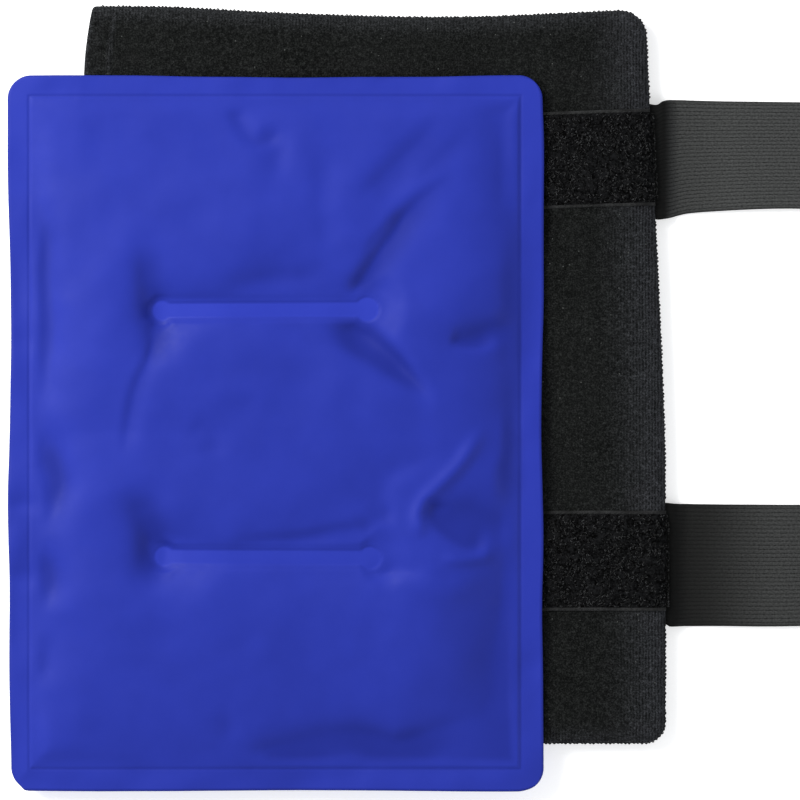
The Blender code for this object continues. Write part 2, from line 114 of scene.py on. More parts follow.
world = bpy.data.worlds.new("studio")
world.use_nodes = True
wt = world.node_tree
wt.nodes.clear()
w_out = wt.nodes.new("ShaderNodeOutputWorld")
w_bg = wt.nodes.new("ShaderNodeBackground")
w_ramp = wt.nodes.new("ShaderNodeValToRGB")
w_sep = wt.nodes.new("ShaderNodeSeparateXYZ")
w_co = wt.nodes.new("ShaderNodeTexCoord")
wt.links.new(w_co.outputs["Generated"], w_sep.inputs[0])
wt.links.new(w_sep.outputs["Z"], w_ramp.inputs["Fac"])
wt.links.new(w_ramp.outputs["Color"], w_bg.inputs["Color"])
wt.links.new(w_bg.outputs["Background"], w_out.inputs["Surface"])
w_ramp.color_ramp.elements[0].position = 0.0
w_ramp.color_ramp.elements[0].color = (0.95, 0.96, 0.98, 1)
w_ramp.color_ramp.elements[1].position = 0.9
w_ramp.color_ramp.elements[1].color = (0.40, 0.41, 0.42, 1)
w_bg.inputs["Strength"].default_value = 1.0
scene.world = world


# ---------------------------------------------------------------------------
# materials
# ---------------------------------------------------------------------------
class Nodes:
    """A Principled material and a short way to add nodes to it."""

    def __init__(self, name, colour, roughness, specular=0.5):
        self.material = bpy.data.materials.new(name)
        self.material.use_nodes = True
        self.tree = self.material.node_tree
        self.shader = self.tree.nodes["Principled BSDF"]
        self.set("Base Color", (*colour, 1.0))
        self.set("Roughness", roughness)
        self.set("Specular IOR Level", specular)
        self.material.diffuse_color = (*colour, 1.0)

    def set(self, socket, value):
        self.shader.inputs[socket].default_value = value

    def add(self, kind, **values):
        node = self.tree.nodes.new("ShaderNode" + kind)
        for key, value in values.items():
            if key.startswith("in_"):
                name = key[3:]
                node.inputs[int(name) if name.isdigit() else name].default_value = value
            else:
                setattr(node, key, value)
        return node

    def link(self, a, b):
        self.tree.links.new(a, b)

    def place(self, source="Object", scale=(1.0, 1.0, 1.0)):
        """Texture coordinates in millimetres."""
        coords = self.add("TexCoord")
        mapping = self.add("Mapping")
        mapping.inputs["Scale"].default_value = [1000.0 * s for s in scale]
        self.link(coords.outputs[source], mapping.inputs["Vector"])
        return mapping.outputs["Vector"]

    def uv(self, scale=(1.0, 1.0, 1.0)):
        coords = self.add("UVMap", uv_map="millimetres")
        mapping = self.add("Mapping")
        mapping.inputs["Scale"].default_value = scale
        self.link(coords.outputs["UV"], mapping.inputs["Vector"])
        return mapping.outputs["Vector"]

    def noise(self, vector, size, detail=2.0, roughness=0.5):
        """Noise whose features are about size millimetres across."""
        node = self.add("TexNoise")
        node.inputs["Scale"].default_value = 1.0 / size
        node.inputs["Detail"].default_value = detail
        node.inputs["Roughness"].default_value = roughness
        self.link(vector, node.inputs["Vector"])
        return node.outputs["Fac"]

    def math(self, operation, a, b=0.0, c=0.0, clamp=False):
        node = self.add("Math", operation=operation, use_clamp=clamp)
        for i, value in enumerate((a, b, c)):
            if isinstance(value, (int, float)):
                node.inputs[i].default_value = value
            else:
                self.link(value, node.inputs[i])
        return node.outputs[0]

    def remap(self, value, low, high, to_low, to_high):
        node = self.add("MapRange")
        node.inputs["From Min"].default_value = low
        node.inputs["From Max"].default_value = high
        node.inputs["To Min"].default_value = to_low
        node.inputs["To Max"].default_value = to_high
        self.link(value, node.inputs["Value"])
        return node.outputs["Result"]

    def mix(self, factor, a, b):
        node = self.add("Mix", data_type="RGBA")
        for socket, value in ((node.inputs[0], factor), (node.inputs[6], a), (node.inputs[7], b)):
            if isinstance(value, tuple):
                socket.default_value = (*value, 1.0) if len(value) == 3 else value
            elif isinstance(value, (int, float)):
                socket.default_value = value
            else:
                self.link(value, socket)
        return node.outputs[2]

    def attribute(self, name):
        return self.add("Attribute", attribute_name=name).outputs["Fac"]

    def axis(self, vector, which):
        node = self.add("SeparateXYZ")
        self.link(vector, node.inputs[0])
        return node.outputs[which]

    def wave(self, value, pitch):
        """0 to 1 and back once per pitch millimetres."""
        turned = self.math("MULTIPLY", value, 2 * math.pi / pitch)
        return self.math("MULTIPLY_ADD", self.math("SINE", turned), 0.5, 0.5)

    def bump(self, height, depth, strength=1.0, under=None):
        """Bump of this depth in millimetres."""
        node = self.add("Bump")
        node.inputs["Strength"].default_value = strength
        node.inputs["Distance"].default_value = depth * MM
        self.link(height, node.inputs["Height"])
        if under is not None:
            self.link(under, node.inputs["Normal"])
        return node.outputs["Normal"]


def film_material():
    m = Nodes("blue_film", (0.0172, 0.0296, 0.293), 0.50, 0.09)
    at = m.place()
    broad = m.noise(at, 70.0, 2.0)
    patch = m.noise(at, 16.0, 3.0, 0.55)
    tone = m.math("ADD", m.remap(broad, 0.3, 0.7, -0.5, 0.5), m.remap(patch, 0.3, 0.7, -0.35, 0.35))
    base = m.mix(
        m.remap(tone, -0.8, 0.8, 0.0, 1.0),
        (0.0162, 0.0280, 0.279),
        (0.0188, 0.0320, 0.313),
    )
    base = m.mix(m.attribute("weld"), base, (0.0225, 0.0380, 0.368))
    # painted shade: a darker blue in the film's folds, toward its right-hand side, along the seal and round its cut
    # edge
    base = m.mix(m.math("MULTIPLY", m.attribute("painted_shade"), 0.42), base, (0.0070, 0.0125, 0.140))
    m.link(base, m.shader.inputs["Base Color"])
    gloss_and_dark_patch = m.noise(at, 5.0, 4.0, 0.6)
    m.link(m.remap(gloss_and_dark_patch, 0.25, 0.75, 0.44, 0.58), m.shader.inputs["Roughness"])
    grain = m.noise(at, 0.55, 2.0, 0.6)
    soft = m.noise(at, 7.0, 3.0, 0.5)
    normal = m.bump(soft, 0.10, 0.7)
    normal = m.bump(grain, 0.016, 0.6, normal)
    m.link(normal, m.shader.inputs["Normal"])
    return m.material


def knit_material():
    m = Nodes("black_knit", (0.0085, 0.009, 0.009), 0.95, 0.06)
    at = m.place()
    x = m.axis(at, "X")
    wobble = m.math("MULTIPLY_ADD", m.noise(at, 9.0, 1.0), 1.1, x)
    wale = m.wave(wobble, 1.62)
    rim = m.attribute("rim")
    nap = m.noise(at, 0.86, 3.0, 0.7)
    tuft = m.noise(at, 2.4, 4.0, 0.65)
    broad = m.noise(at, 34.0, 3.0)
    # nap hides the wales away from the rims
    wale_share = m.remap(rim, 0.0, 1.0, 0.06, 0.54)
    fuzz = m.math("ADD", m.remap(nap, 0.36, 0.66, 0.0, 0.65), m.remap(tuft, 0.34, 0.68, 0.0, 0.35))
    wales = m.math("MULTIPLY", wale, wale_share)
    height = m.math("ADD", fuzz, wales)
    level = m.math("ADD", m.math("POWER", m.math("MAXIMUM", fuzz, 0.0), 2.3), m.math("MULTIPLY", wales, 0.42))
    dark = m.mix(m.remap(broad, 0.35, 0.65, 0.0, 1.0), (0.0008, 0.0010, 0.0009), (0.0026, 0.0029, 0.0028))
    # painted sheen: where rim is high the knit is painted lighter and bluer, along the edges where the cloth turns over
    light = m.mix(rim, (0.0272, 0.0289, 0.0279), (0.0562, 0.0589, 0.0659))
    base = m.mix(m.remap(level, 0.0, 1.0, 0.0, 1.0), dark, light)
    # specks of lint
    cells = m.add("TexVoronoi")
    cells.inputs["Scale"].default_value = 1 / 5.0
    m.link(at, cells.inputs["Vector"])
    chosen = m.math("GREATER_THAN", m.axis(cells.outputs["Color"], "X"), 0.55)
    near = m.math("LESS_THAN", cells.outputs["Distance"], 0.07)
    lint = m.math("MULTIPLY", chosen, near)
    base = m.mix(m.math("MULTIPLY", lint, 0.62), base, (0.095, 0.10, 0.095))
    m.link(base, m.shader.inputs["Base Color"])
    m.link(m.bump(height, 0.38, 0.6), m.shader.inputs["Normal"])
    m.set("Sheen Weight", 0.035)
    m.set("Sheen Roughness", 0.4)
    m.set("Sheen Tint", (0.60, 0.66, 0.80, 1.0))
    return m.material


def lining_material():
    m = Nodes("black_lining", (0.014, 0.014, 0.015), 0.55, 0.4)
    at = m.place()
    y = m.axis(at, "Y")
    x = m.axis(at, "X")
    mesh = m.math("MULTIPLY", m.wave(x, 1.1), m.wave(y, 1.5))
    tone = m.noise(at, 3.0, 3.0)
    base = m.mix(m.math("MULTIPLY_ADD", mesh, 0.5, m.math("MULTIPLY", tone, 0.5)), (0.006, 0.006, 0.007), (0.026, 0.026, 0.028))
    m.link(base, m.shader.inputs["Base Color"])
    m.link(m.bump(mesh, 0.25, 0.7), m.shader.inputs["Normal"])
    return m.material


def pile_base_material():
    m = Nodes("black_loop_base", (0.002, 0.002, 0.0022), 0.95, 0.04)
    at = m.place()
    curls = m.noise(at, 1.35, 3.0, 0.75)
    clumps = m.noise(at, 3.2, 2.0)
    tone = m.math("MULTIPLY_ADD", curls, 0.7, m.math("MULTIPLY", clumps, 0.3))
    base = m.mix(m.remap(tone, 0.42, 0.62, 0.0, 1.0), (0.0002, 0.0002, 0.0002), (0.0092, 0.0095, 0.0102))
    m.link(base, m.shader.inputs["Base Color"])
    m.link(m.bump(tone, 0.8, 0.8), m.shader.inputs["Normal"])
    return m.material


def pile_loop_material():
    m = Nodes("black_loop_fibre", (0.012, 0.012, 0.0125), 0.5, 0.25)
    at = m.place()
    each = m.attribute("shade")
    fine = m.noise(at, 1.2, 2.0)
    base = m.mix(m.math("MULTIPLY", each, m.remap(fine, 0.3, 0.7, 0.45, 1.0)), (0.0005, 0.0005, 0.0005), (0.077, 0.0793, 0.0815))
    m.link(base, m.shader.inputs["Base Color"])
    return m.material


def thread_material(name, colour, light):
    m = Nodes(name, colour, 0.75, 0.18)
    at = m.place()
    twist = m.noise(at, 0.35, 2.0)
    base = m.mix(m.remap(twist, 0.3, 0.7, 0.0, 1.0), colour, light)
    m.link(base, m.shader.inputs["Base Color"])
    m.link(m.bump(twist, 0.08, 0.6), m.shader.inputs["Normal"])
    return m.material


def elastic_material():
    m = Nodes("grey_elastic", (0.035, 0.036, 0.036), 0.8, 0.12)
    at = m.uv()
    along = m.axis(at, "X")
    rib = m.attribute("rib")
    crimp = m.wave(m.math("MULTIPLY_ADD", m.noise(at, 4.0, 1.0), 0.6, along), 0.82)
    yarn = m.noise(m.uv((1.0, 1.7, 1.0)), 1.3, 3.0, 0.75)
    broad = m.noise(at, 22.0, 2.0)
    # painted shade: the grooves between the ribs are painted darker than the ridges
    level = m.math(
        "ADD",
        m.math("MULTIPLY", rib, 0.50),
        m.math("ADD", m.math("MULTIPLY", crimp, 0.10), m.math("MULTIPLY", m.remap(yarn, 0.39, 0.62, 0.0, 1.0), 0.56)),
    )
    dark = m.mix(m.remap(broad, 0.35, 0.65, 0.0, 1.0), (0.0055, 0.0057, 0.0057), (0.0080, 0.0083, 0.0082))
    base = m.mix(m.remap(level, 0.15, 1.0, 0.0, 1.0), dark, (0.0556, 0.0572, 0.0564))
    cells = m.add("TexVoronoi")
    cells.inputs["Scale"].default_value = 1 / 6.0
    m.link(at, cells.inputs["Vector"])
    chosen = m.math("GREATER_THAN", m.axis(cells.outputs["Color"], "X"), 0.7)
    near = m.math("LESS_THAN", cells.outputs["Distance"], 0.05)
    base = m.mix(m.math("MULTIPLY", m.math("MULTIPLY", chosen, near), 0.45), base, (0.15, 0.15, 0.145))
    # painted darker for a stretch from the strap's root, most on the lower strap, with the ribs still faintly showing
    base = m.mix(m.attribute("gloss_and_dark_patch"), base, m.mix(m.remap(level, 0.15, 1.0, 0.0, 1.0), (0.0040, 0.0041, 0.0039), (0.0100, 0.0102, 0.0098)))
    # painted shade: near-black at the strap's root, in the cover's shadow, and along its long edges
    base = m.mix(m.attribute("root"), base, (0.0018, 0.0019, 0.0018))
    m.link(base, m.shader.inputs["Base Color"])
    weave = m.math("ADD", m.math("MULTIPLY", crimp, 0.5), m.math("MULTIPLY", yarn, 0.6))
    m.link(m.bump(weave, 0.14, 0.6), m.shader.inputs["Normal"])
    return m.material


def hook_material(name, low, high, woven):
    m = Nodes(name, low, 0.75, 0.12)
    at = m.place()
    x, y = m.axis(at, "X"), m.axis(at, "Y")
    if woven:
        height = m.math("MAXIMUM", m.wave(x, 0.9), m.wave(y, 0.62))
        height = m.math("MULTIPLY_ADD", m.noise(at, 0.6, 2.0), 0.4, height)
    else:
        height = m.noise(at, 0.7, 2.0)
    base = m.mix(m.remap(height, 0.2, 1.2, 0.0, 1.0), low, high)
    m.link(base, m.shader.inputs["Base Color"])
    m.link(m.bump(height, 0.12, 0.7), m.shader.inputs["Normal"])
    return m.material


def floor_material():
    m = Nodes("pale_floor", (0.86, 0.86, 0.86), 0.85, 0.1)
    at = m.place()
    tone = m.noise(at, 240.0, 2.0)
    base = m.mix(m.remap(tone, 0.3, 0.7, 0.0, 1.0), (0.80, 0.80, 0.805), (0.825, 0.825, 0.82))
    m.link(base, m.shader.inputs["Base Color"])
    m.set("Emission Color", (1.0, 1.0, 1.0, 1.0))
    m.set("Emission Strength", 0.5)
    return m.material


FILM = film_material()
KNIT = knit_material()
LINING = lining_material()
PILE_BASE = pile_base_material()
PILE_LOOP = pile_loop_material()
THREAD = thread_material("black_thread", (0.0024, 0.0025, 0.0026), (0.0085, 0.0087, 0.0092))
PALE_THREAD = thread_material("grey_thread", (0.0090, 0.0092, 0.0092), (0.0300, 0.0305, 0.0305))
ELASTIC = elastic_material()
HOOK_BACK = hook_material("hook_tape_back", (0.003, 0.003, 0.0033), (0.017, 0.017, 0.018), True)
HOOK_WIRE = hook_material("hook_tape_hooks", (0.010, 0.010, 0.0105), (0.022, 0.022, 0.023), False)
FLOOR = floor_material()


# ---------------------------------------------------------------------------
# mesh helpers; lengths are millimetres until a mesh is made
# ---------------------------------------------------------------------------
def smoothstep(a, b, x):
    t = np.clip((np.asarray(x, float) - a) / (b - a), 0.0, 1.0)
    return t * t * (3 - 2 * t)


def noise2(x, y, size, seed):
    """Smooth noise from about -1 to 1, the same each run."""
    grid = np.random.default_rng(seed).uniform(-1, 1, (96, 96))
    u, v = np.asarray(x, float) / size, np.asarray(y, float) / size
    iu, iv = np.floor(u).astype(int), np.floor(v).astype(int)
    fu, fv = u - iu, v - iv

    def weights(t):
        return (
            (1 - t) ** 3 / 6,
            (3 * t**3 - 6 * t * t + 4) / 6,
            (-3 * t**3 + 3 * t * t + 3 * t + 1) / 6,
            t**3 / 6,
        )

    wu, wv = weights(fu), weights(fv)
    total = 0.0
    for a in range(4):
        for b in range(4):
            total = total + wu[a] * wv[b] * grid[(iu + a - 1) % 96, (iv + b - 1) % 96]
    return total * 2.3


def mesh_piece(name, verts, faces, materials, body=None, replaces=(), face_material=None, values=None, uv=None, merge=0.0, smooth=True, outward=True):
    """A mesh object from millimetre coordinates, with its materials and its place in the frame."""
    mesh = bpy.data.meshes.new(name)
    verts = np.asarray(verts, float)
    mesh.from_pydata((verts * MM).tolist(), [], [list(map(int, f)) for f in faces])
    for finish in materials:
        mesh.materials.append(finish)
    if face_material is not None:
        mesh.polygons.foreach_set("material_index", np.asarray(face_material, np.int32))
    for key, value in (values or {}).items():
        layer = mesh.attributes.new(key, "FLOAT", "POINT")
        layer.data.foreach_set("value", np.asarray(value, np.float32))
    if uv is not None:
        layer = mesh.uv_layers.new(name="millimetres")
        loops = np.zeros(len(mesh.loops), np.int32)
        mesh.loops.foreach_get("vertex_index", loops)
        layer.data.foreach_set("uv", np.asarray(uv, np.float32)[loops].ravel())
    if merge or outward:
        work = bmesh.new()
        work.from_mesh(mesh)
        if merge:
            bmesh.ops.remove_doubles(work, verts=work.verts, dist=merge * MM)
        if outward:
            bmesh.ops.recalc_face_normals(work, faces=work.faces)
        work.to_mesh(mesh)
        work.free()
    if smooth:
        mesh.shade_smooth()
    obj = bpy.data.objects.new(name, mesh)
    scene.collection.objects.link(obj)
    if body is not None:
        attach(obj, body)
    if replaces:
        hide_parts(*replaces)
    return obj


def grid_faces(rows, columns, start=0, wrap=False):
    """Quads of a rows by columns block of vertices; wrap joins the last column to the first."""
    i, j = np.meshgrid(
        np.arange(rows - 1), np.arange(columns if wrap else columns - 1), indexing="ij"
    )
    k = (j + 1) % columns
    a, b = start + i * columns + j, start + (i + 1) * columns + j
    c, d = start + (i + 1) * columns + k, start + i * columns + k
    return np.stack([a, b, c, d], -1).reshape(-1, 4)


def tubes(paths, radius, sides, start=0):
    """Vertices and faces of closed little tubes, one for each of the paths (K, M, 3); radius is one number, or one for each path and point."""
    paths = np.asarray(paths, float)
    count, steps, _ = paths.shape
    ahead = np.gradient(paths, axis=1)
    ahead /= np.linalg.norm(ahead, axis=2, keepdims=True) + 1e-9
    helper = np.where(np.abs(ahead[..., 2:3]) > 0.9, np.array([1.0, 0, 0]), np.array([0, 0, 1.0]))
    side = np.cross(ahead, helper)
    side /= np.linalg.norm(side, axis=2, keepdims=True) + 1e-9
    up = np.cross(side, ahead)
    angle = np.arange(sides) * 2 * math.pi / sides
    radius = np.broadcast_to(np.asarray(radius, float), (count, steps))
    ring = (
        side[:, :, None, :] * np.cos(angle)[None, None, :, None]
        + up[:, :, None, :] * np.sin(angle)[None, None, :, None]
    )
    points = paths[:, :, None, :] + ring * radius[:, :, None, None]
    verts = points.reshape(-1, 3)
    block = grid_faces(steps, sides, 0, True)
    offsets = start + np.arange(count)[:, None, None] * steps * sides
    faces = (block[None] + offsets).reshape(-1, 4)
    caps = []
    first = list(range(sides))
    last = list(range((steps - 1) * sides, steps * sides))
    for k in range(count):
        base = start + k * steps * sides
        caps.append([base + i for i in first])
        caps.append([base + i for i in reversed(last)])
    return verts, [*faces.tolist(), *caps], count, steps, sides


# ---------------------------------------------------------------------------
# the cover's outline: the CAD's, read off its edges
# ---------------------------------------------------------------------------
TOP_LEFT = np.array((-148.9, 194.2))
LOW_LEFT = np.array((-153.0, -192.0))
TOP_SAG = 3.2
RIGHT_STATIONS = np.array(
    [
        (143.2, 192.6),
        (145.3, 145.0),
        (148.4, 83.0),
        (152.6, -11.0),
        (153.6, -64.0),
        (153.6, -191.6),
    ]
)
TOP_RIGHT_R, LOW_RIGHT_R = 14.0, 11.0
COVER_T = 12.6
WALL = 3.6
MID = COVER_T / 2


def catmull(points, steps):
    points = np.asarray(points, float)
    padded = np.vstack([points[:1], points, points[-1:]])
    out = []
    for i in range(len(points) - 1):
        p0, p1, p2, p3 = padded[i : i + 4]
        for t in np.arange(steps) / steps:
            out.append(
                0.5 * (2 * p1 + (p2 - p0) * t + (2 * p0 - 5 * p1 + 4 * p2 - p3) * t * t + (3 * p1 - p0 - 3 * p2 + p3) * t**3)
            )
    out.append(points[-1])
    return np.array(out)


_right = catmull(RIGHT_STATIONS, 24)[::-1]
_t = np.linspace(0, 1, 200)
_top = TOP_LEFT + (RIGHT_STATIONS[0] - TOP_LEFT) * _t[:, None]
_top[:, 1] -= TOP_SAG * 4 * _t * (1 - _t) * (0.7 + 0.6 * _t)


def right_x(y):
    return np.interp(y, _right[:, 1], _right[:, 0])


def top_y(x):
    x = np.asarray(x, float)
    # the edge bows up a little on the left and dips right of the middle
    bow = [np.interp(x + step, (-150, -127, -106, -54, 12, 40, 62, 98, 132), (0.2, 0.9, 1.4, 0.0, -1.25, -1.3, -1.1, -0.15, 0.25)) for step in (-8, -4, 0, 4, 8)]
    return np.interp(x, _top[:, 0], _top[:, 1]) + 0.7 + np.mean(bow, axis=0)


def low_y(x):
    return LOW_LEFT[1] + (x - LOW_LEFT[0]) * (RIGHT_STATIONS[-1][1] - LOW_LEFT[1]) / (RIGHT_STATIONS[-1][0] - LOW_LEFT[0])


def mouth_x(y):
    straight = LOW_LEFT[0] + (TOP_LEFT[0] - LOW_LEFT[0]) * (y - LOW_LEFT[1]) / (TOP_LEFT[1] - LOW_LEFT[1])
    return straight + 4.2 * np.clip((y - 160) / 36, 0, 1.2) ** 1.6


# where points fall along the top and bottom edges (0 at the mouth), and down the right-hand edge
ALONG = np.concatenate([np.linspace(0, 18, 20, endpoint=False), np.linspace(18, 283, 74)]) / 283.0
DOWN = np.linspace(0, 1, 100)
ARC = 8


def edge_ring(inset):
    """The closed edges' outline, this far in, from the mouth along the top, down the right and back along the bottom."""
    corner = np.array((right_x(190.0) - inset, 190.0))
    for _ in range(4):
        corner[1] = top_y(corner[0]) - inset
        corner[0] = right_x(corner[1]) - inset
    low = np.array((right_x(-188.0) - inset, low_y(140.0) + inset))
    r1, r2 = max(TOP_RIGHT_R - inset, 1.6), max(LOW_RIGHT_R - inset, 1.6)

    x1 = corner[0] - r1
    y_start = top_y(-149.0) - inset
    x0 = mouth_x(y_start)
    top_x = x0 + ALONG * (x1 - x0)
    top = np.stack([top_x, top_y(top_x) - inset], 1)
    y1 = corner[1] - r1
    y2 = low[1] + r2
    right_y = y1 + DOWN * (y2 - y1)
    right = np.stack([right_x(right_y) - inset, right_y], 1)
    x2 = low[0] - r2
    x3 = mouth_x(low_y(-153.0) + inset)
    low_x = x3 + ALONG[::-1] * (x2 - x3)
    bottom = np.stack([low_x, low_y(low_x) + inset], 1)

    def arc(centre, radius, first, last, begin, finish):
        a = np.radians(np.linspace(first, last, ARC + 1))
        points = centre + radius * np.stack([np.cos(a), np.sin(a)], 1)
        share = np.linspace(0, 1, ARC + 1)[:, None]
        points += (begin - points[0]) * (1 - share) + (finish - points[-1]) * share
        return points[1:-1]

    arc_a = arc(np.array((x1, y1)), r1, 90, 0, top[-1], right[0])
    arc_b = arc(np.array((x2, y2)), r2, 0, -90, right[-1], bottom[0])
    return np.vstack([top, arc_a, right, arc_b, bottom])


N_TOP = len(ALONG)
N_ARC = ARC - 1
HALF_ARC = (N_ARC + 1) // 2
N_U = N_TOP + HALF_ARC  # points from the mouth to the corner's middle
N_V = len(DOWN) + 2 * (N_ARC - HALF_ARC + 1)
RING = len(edge_ring(0.0))


def coons(ring):
    """A block of points (N_U, N_V) whose top, right and bottom sides are the ring's. v runs from the bottom to the top."""
    top = ring[:N_U]
    right = ring[N_U - 1 : N_U - 1 + N_V][::-1]
    bottom = ring[N_U + N_V - 2 :][::-1]
    assert len(bottom) == N_U and len(right) == N_V
    start, end = bottom[0], top[0]
    gone = np.concatenate([[0], np.cumsum(np.linalg.norm(np.diff(right, axis=0), axis=1))])
    share = gone / gone[-1]
    left = start + (end - start) * share[:, None]
    left[:, 0] = mouth_x(left[:, 1])
    run = np.concatenate([[0], np.cumsum(np.linalg.norm(np.diff(top, axis=0), axis=1))])
    u = (run / run[-1])[:, None, None]
    v = share[None, :, None]
    return (
        (1 - v) * bottom[:, None]
        + v * top[:, None]
        + (1 - u) * left[None]
        + u * right[None]
        - (1 - u) * (1 - v) * start
        - u * (1 - v) * right[0]
        - (1 - u) * v * end
        - u * v * top[-1]
    )


RIM_D = 15.0  # the front falls away over this much of its edge
RIM_P = 0.80
TAPES = {
    "upper": dict(y=114.6, wide=1.0, tilt=0.035),
    "lower": dict(y=-95.9, wide=1.035, tilt=0.0),
}


def edge_distance(x, y):
    """How far in from the nearest closed edge."""
    d_right = right_x(y) - x
    d_top = top_y(x) - y
    d_low = y - low_y(x)
    r = 9.5
    a, b = np.minimum(d_right, 40), np.minimum(np.minimum(d_top, d_low), 40)
    # rounded corners
    corner = (a < r) & (b < r)
    rounded = r - np.hypot(r - a, r - b)
    return np.where(corner, rounded, np.minimum(a, b))


def rim_height(d, reach=RIM_D, p=RIM_P):
    """Height above the mid-plane at a distance in from the edge, where 1 is the full half-thickness."""
    t = np.clip(1 - np.asarray(d, float) / reach, 0.0, 1.0)
    c = t ** (1 / p)
    return np.maximum(1 - c * c, 0.0) ** (p / 2)


def tape_y(tape, x):
    """The tape's middle line: it runs slightly uphill toward the strap."""
    return tape["y"] + tape["tilt"] * (np.clip(x, 50, 160) - 115)


def front_wave(x, y):
    """Soft unevenness of the front panel."""
    d = edge_distance(x, y)
    hold = smoothstep(0, 22, d)
    lie = 0.42 * noise2(x, y, 46, 11) + 0.22 * noise2(x, y, 19, 12)
    # gathers that run in from the turned seams
    along = np.where(right_x(y) - x < np.minimum(top_y(x) - y, y - low_y(x)), y, x)
    gather = 0.20 * noise2(along, d * 0.25, 6.5, 13) * smoothstep(0, 3, d) * (1 - smoothstep(9, 26, d))
    press = 0.0
    for tape in TAPES.values():
        side = np.abs(y - tape_y(tape, x)) / tape["wide"]
        press = press - 0.55 * np.exp(-(((side - 26.2) / 1.6) ** 2)) + 0.28 * np.exp(-(((side - 29.6) / 2.2) ** 2))
    return hold * (lie + press) + gather


def hem_wave(x, y):
    """The folded hem at the mouth, with the groove that its stitches pull in."""
    m = x - mouth_x(y)
    fold = 0.42 * (1 - smoothstep(11.2, 12.6, m)) + 0.16 * np.exp(-(((m - 11.1) / 0.8) ** 2))
    groove = -0.34 * np.exp(-(((m - 9.7) / 0.8) ** 2))
    pucker = 0.16 * noise2(m * 0.3, y, 5.0, 15) * (1 - smoothstep(8, 20, m))
    return fold + groove + pucker


def front_z(x, y):
    """The front panel's outer face."""
    return MID + MID * rim_height(edge_distance(x, y)) + front_wave(x, y) + hem_wave(x, y)


def wale_and_sheen_share(x, y):
    """How much of the knit's bare wales show, and how much lighter, bluer sheen is painted on it: on the right-hand
    rim, and where the panel turns over at the top and bottom.
    """
    side = smoothstep(36, 7, right_x(y) - x)
    ends = 0.6 * smoothstep(13, 2, np.minimum(top_y(x) - y, y - low_y(x)))
    m = x - mouth_x(y)
    hem = 0.72 * np.exp(-(((m - 10.7) / 1.7) ** 2)) + 0.22 * smoothstep(8.5, 4, m)
    return np.maximum(np.maximum(side, ends), hem)


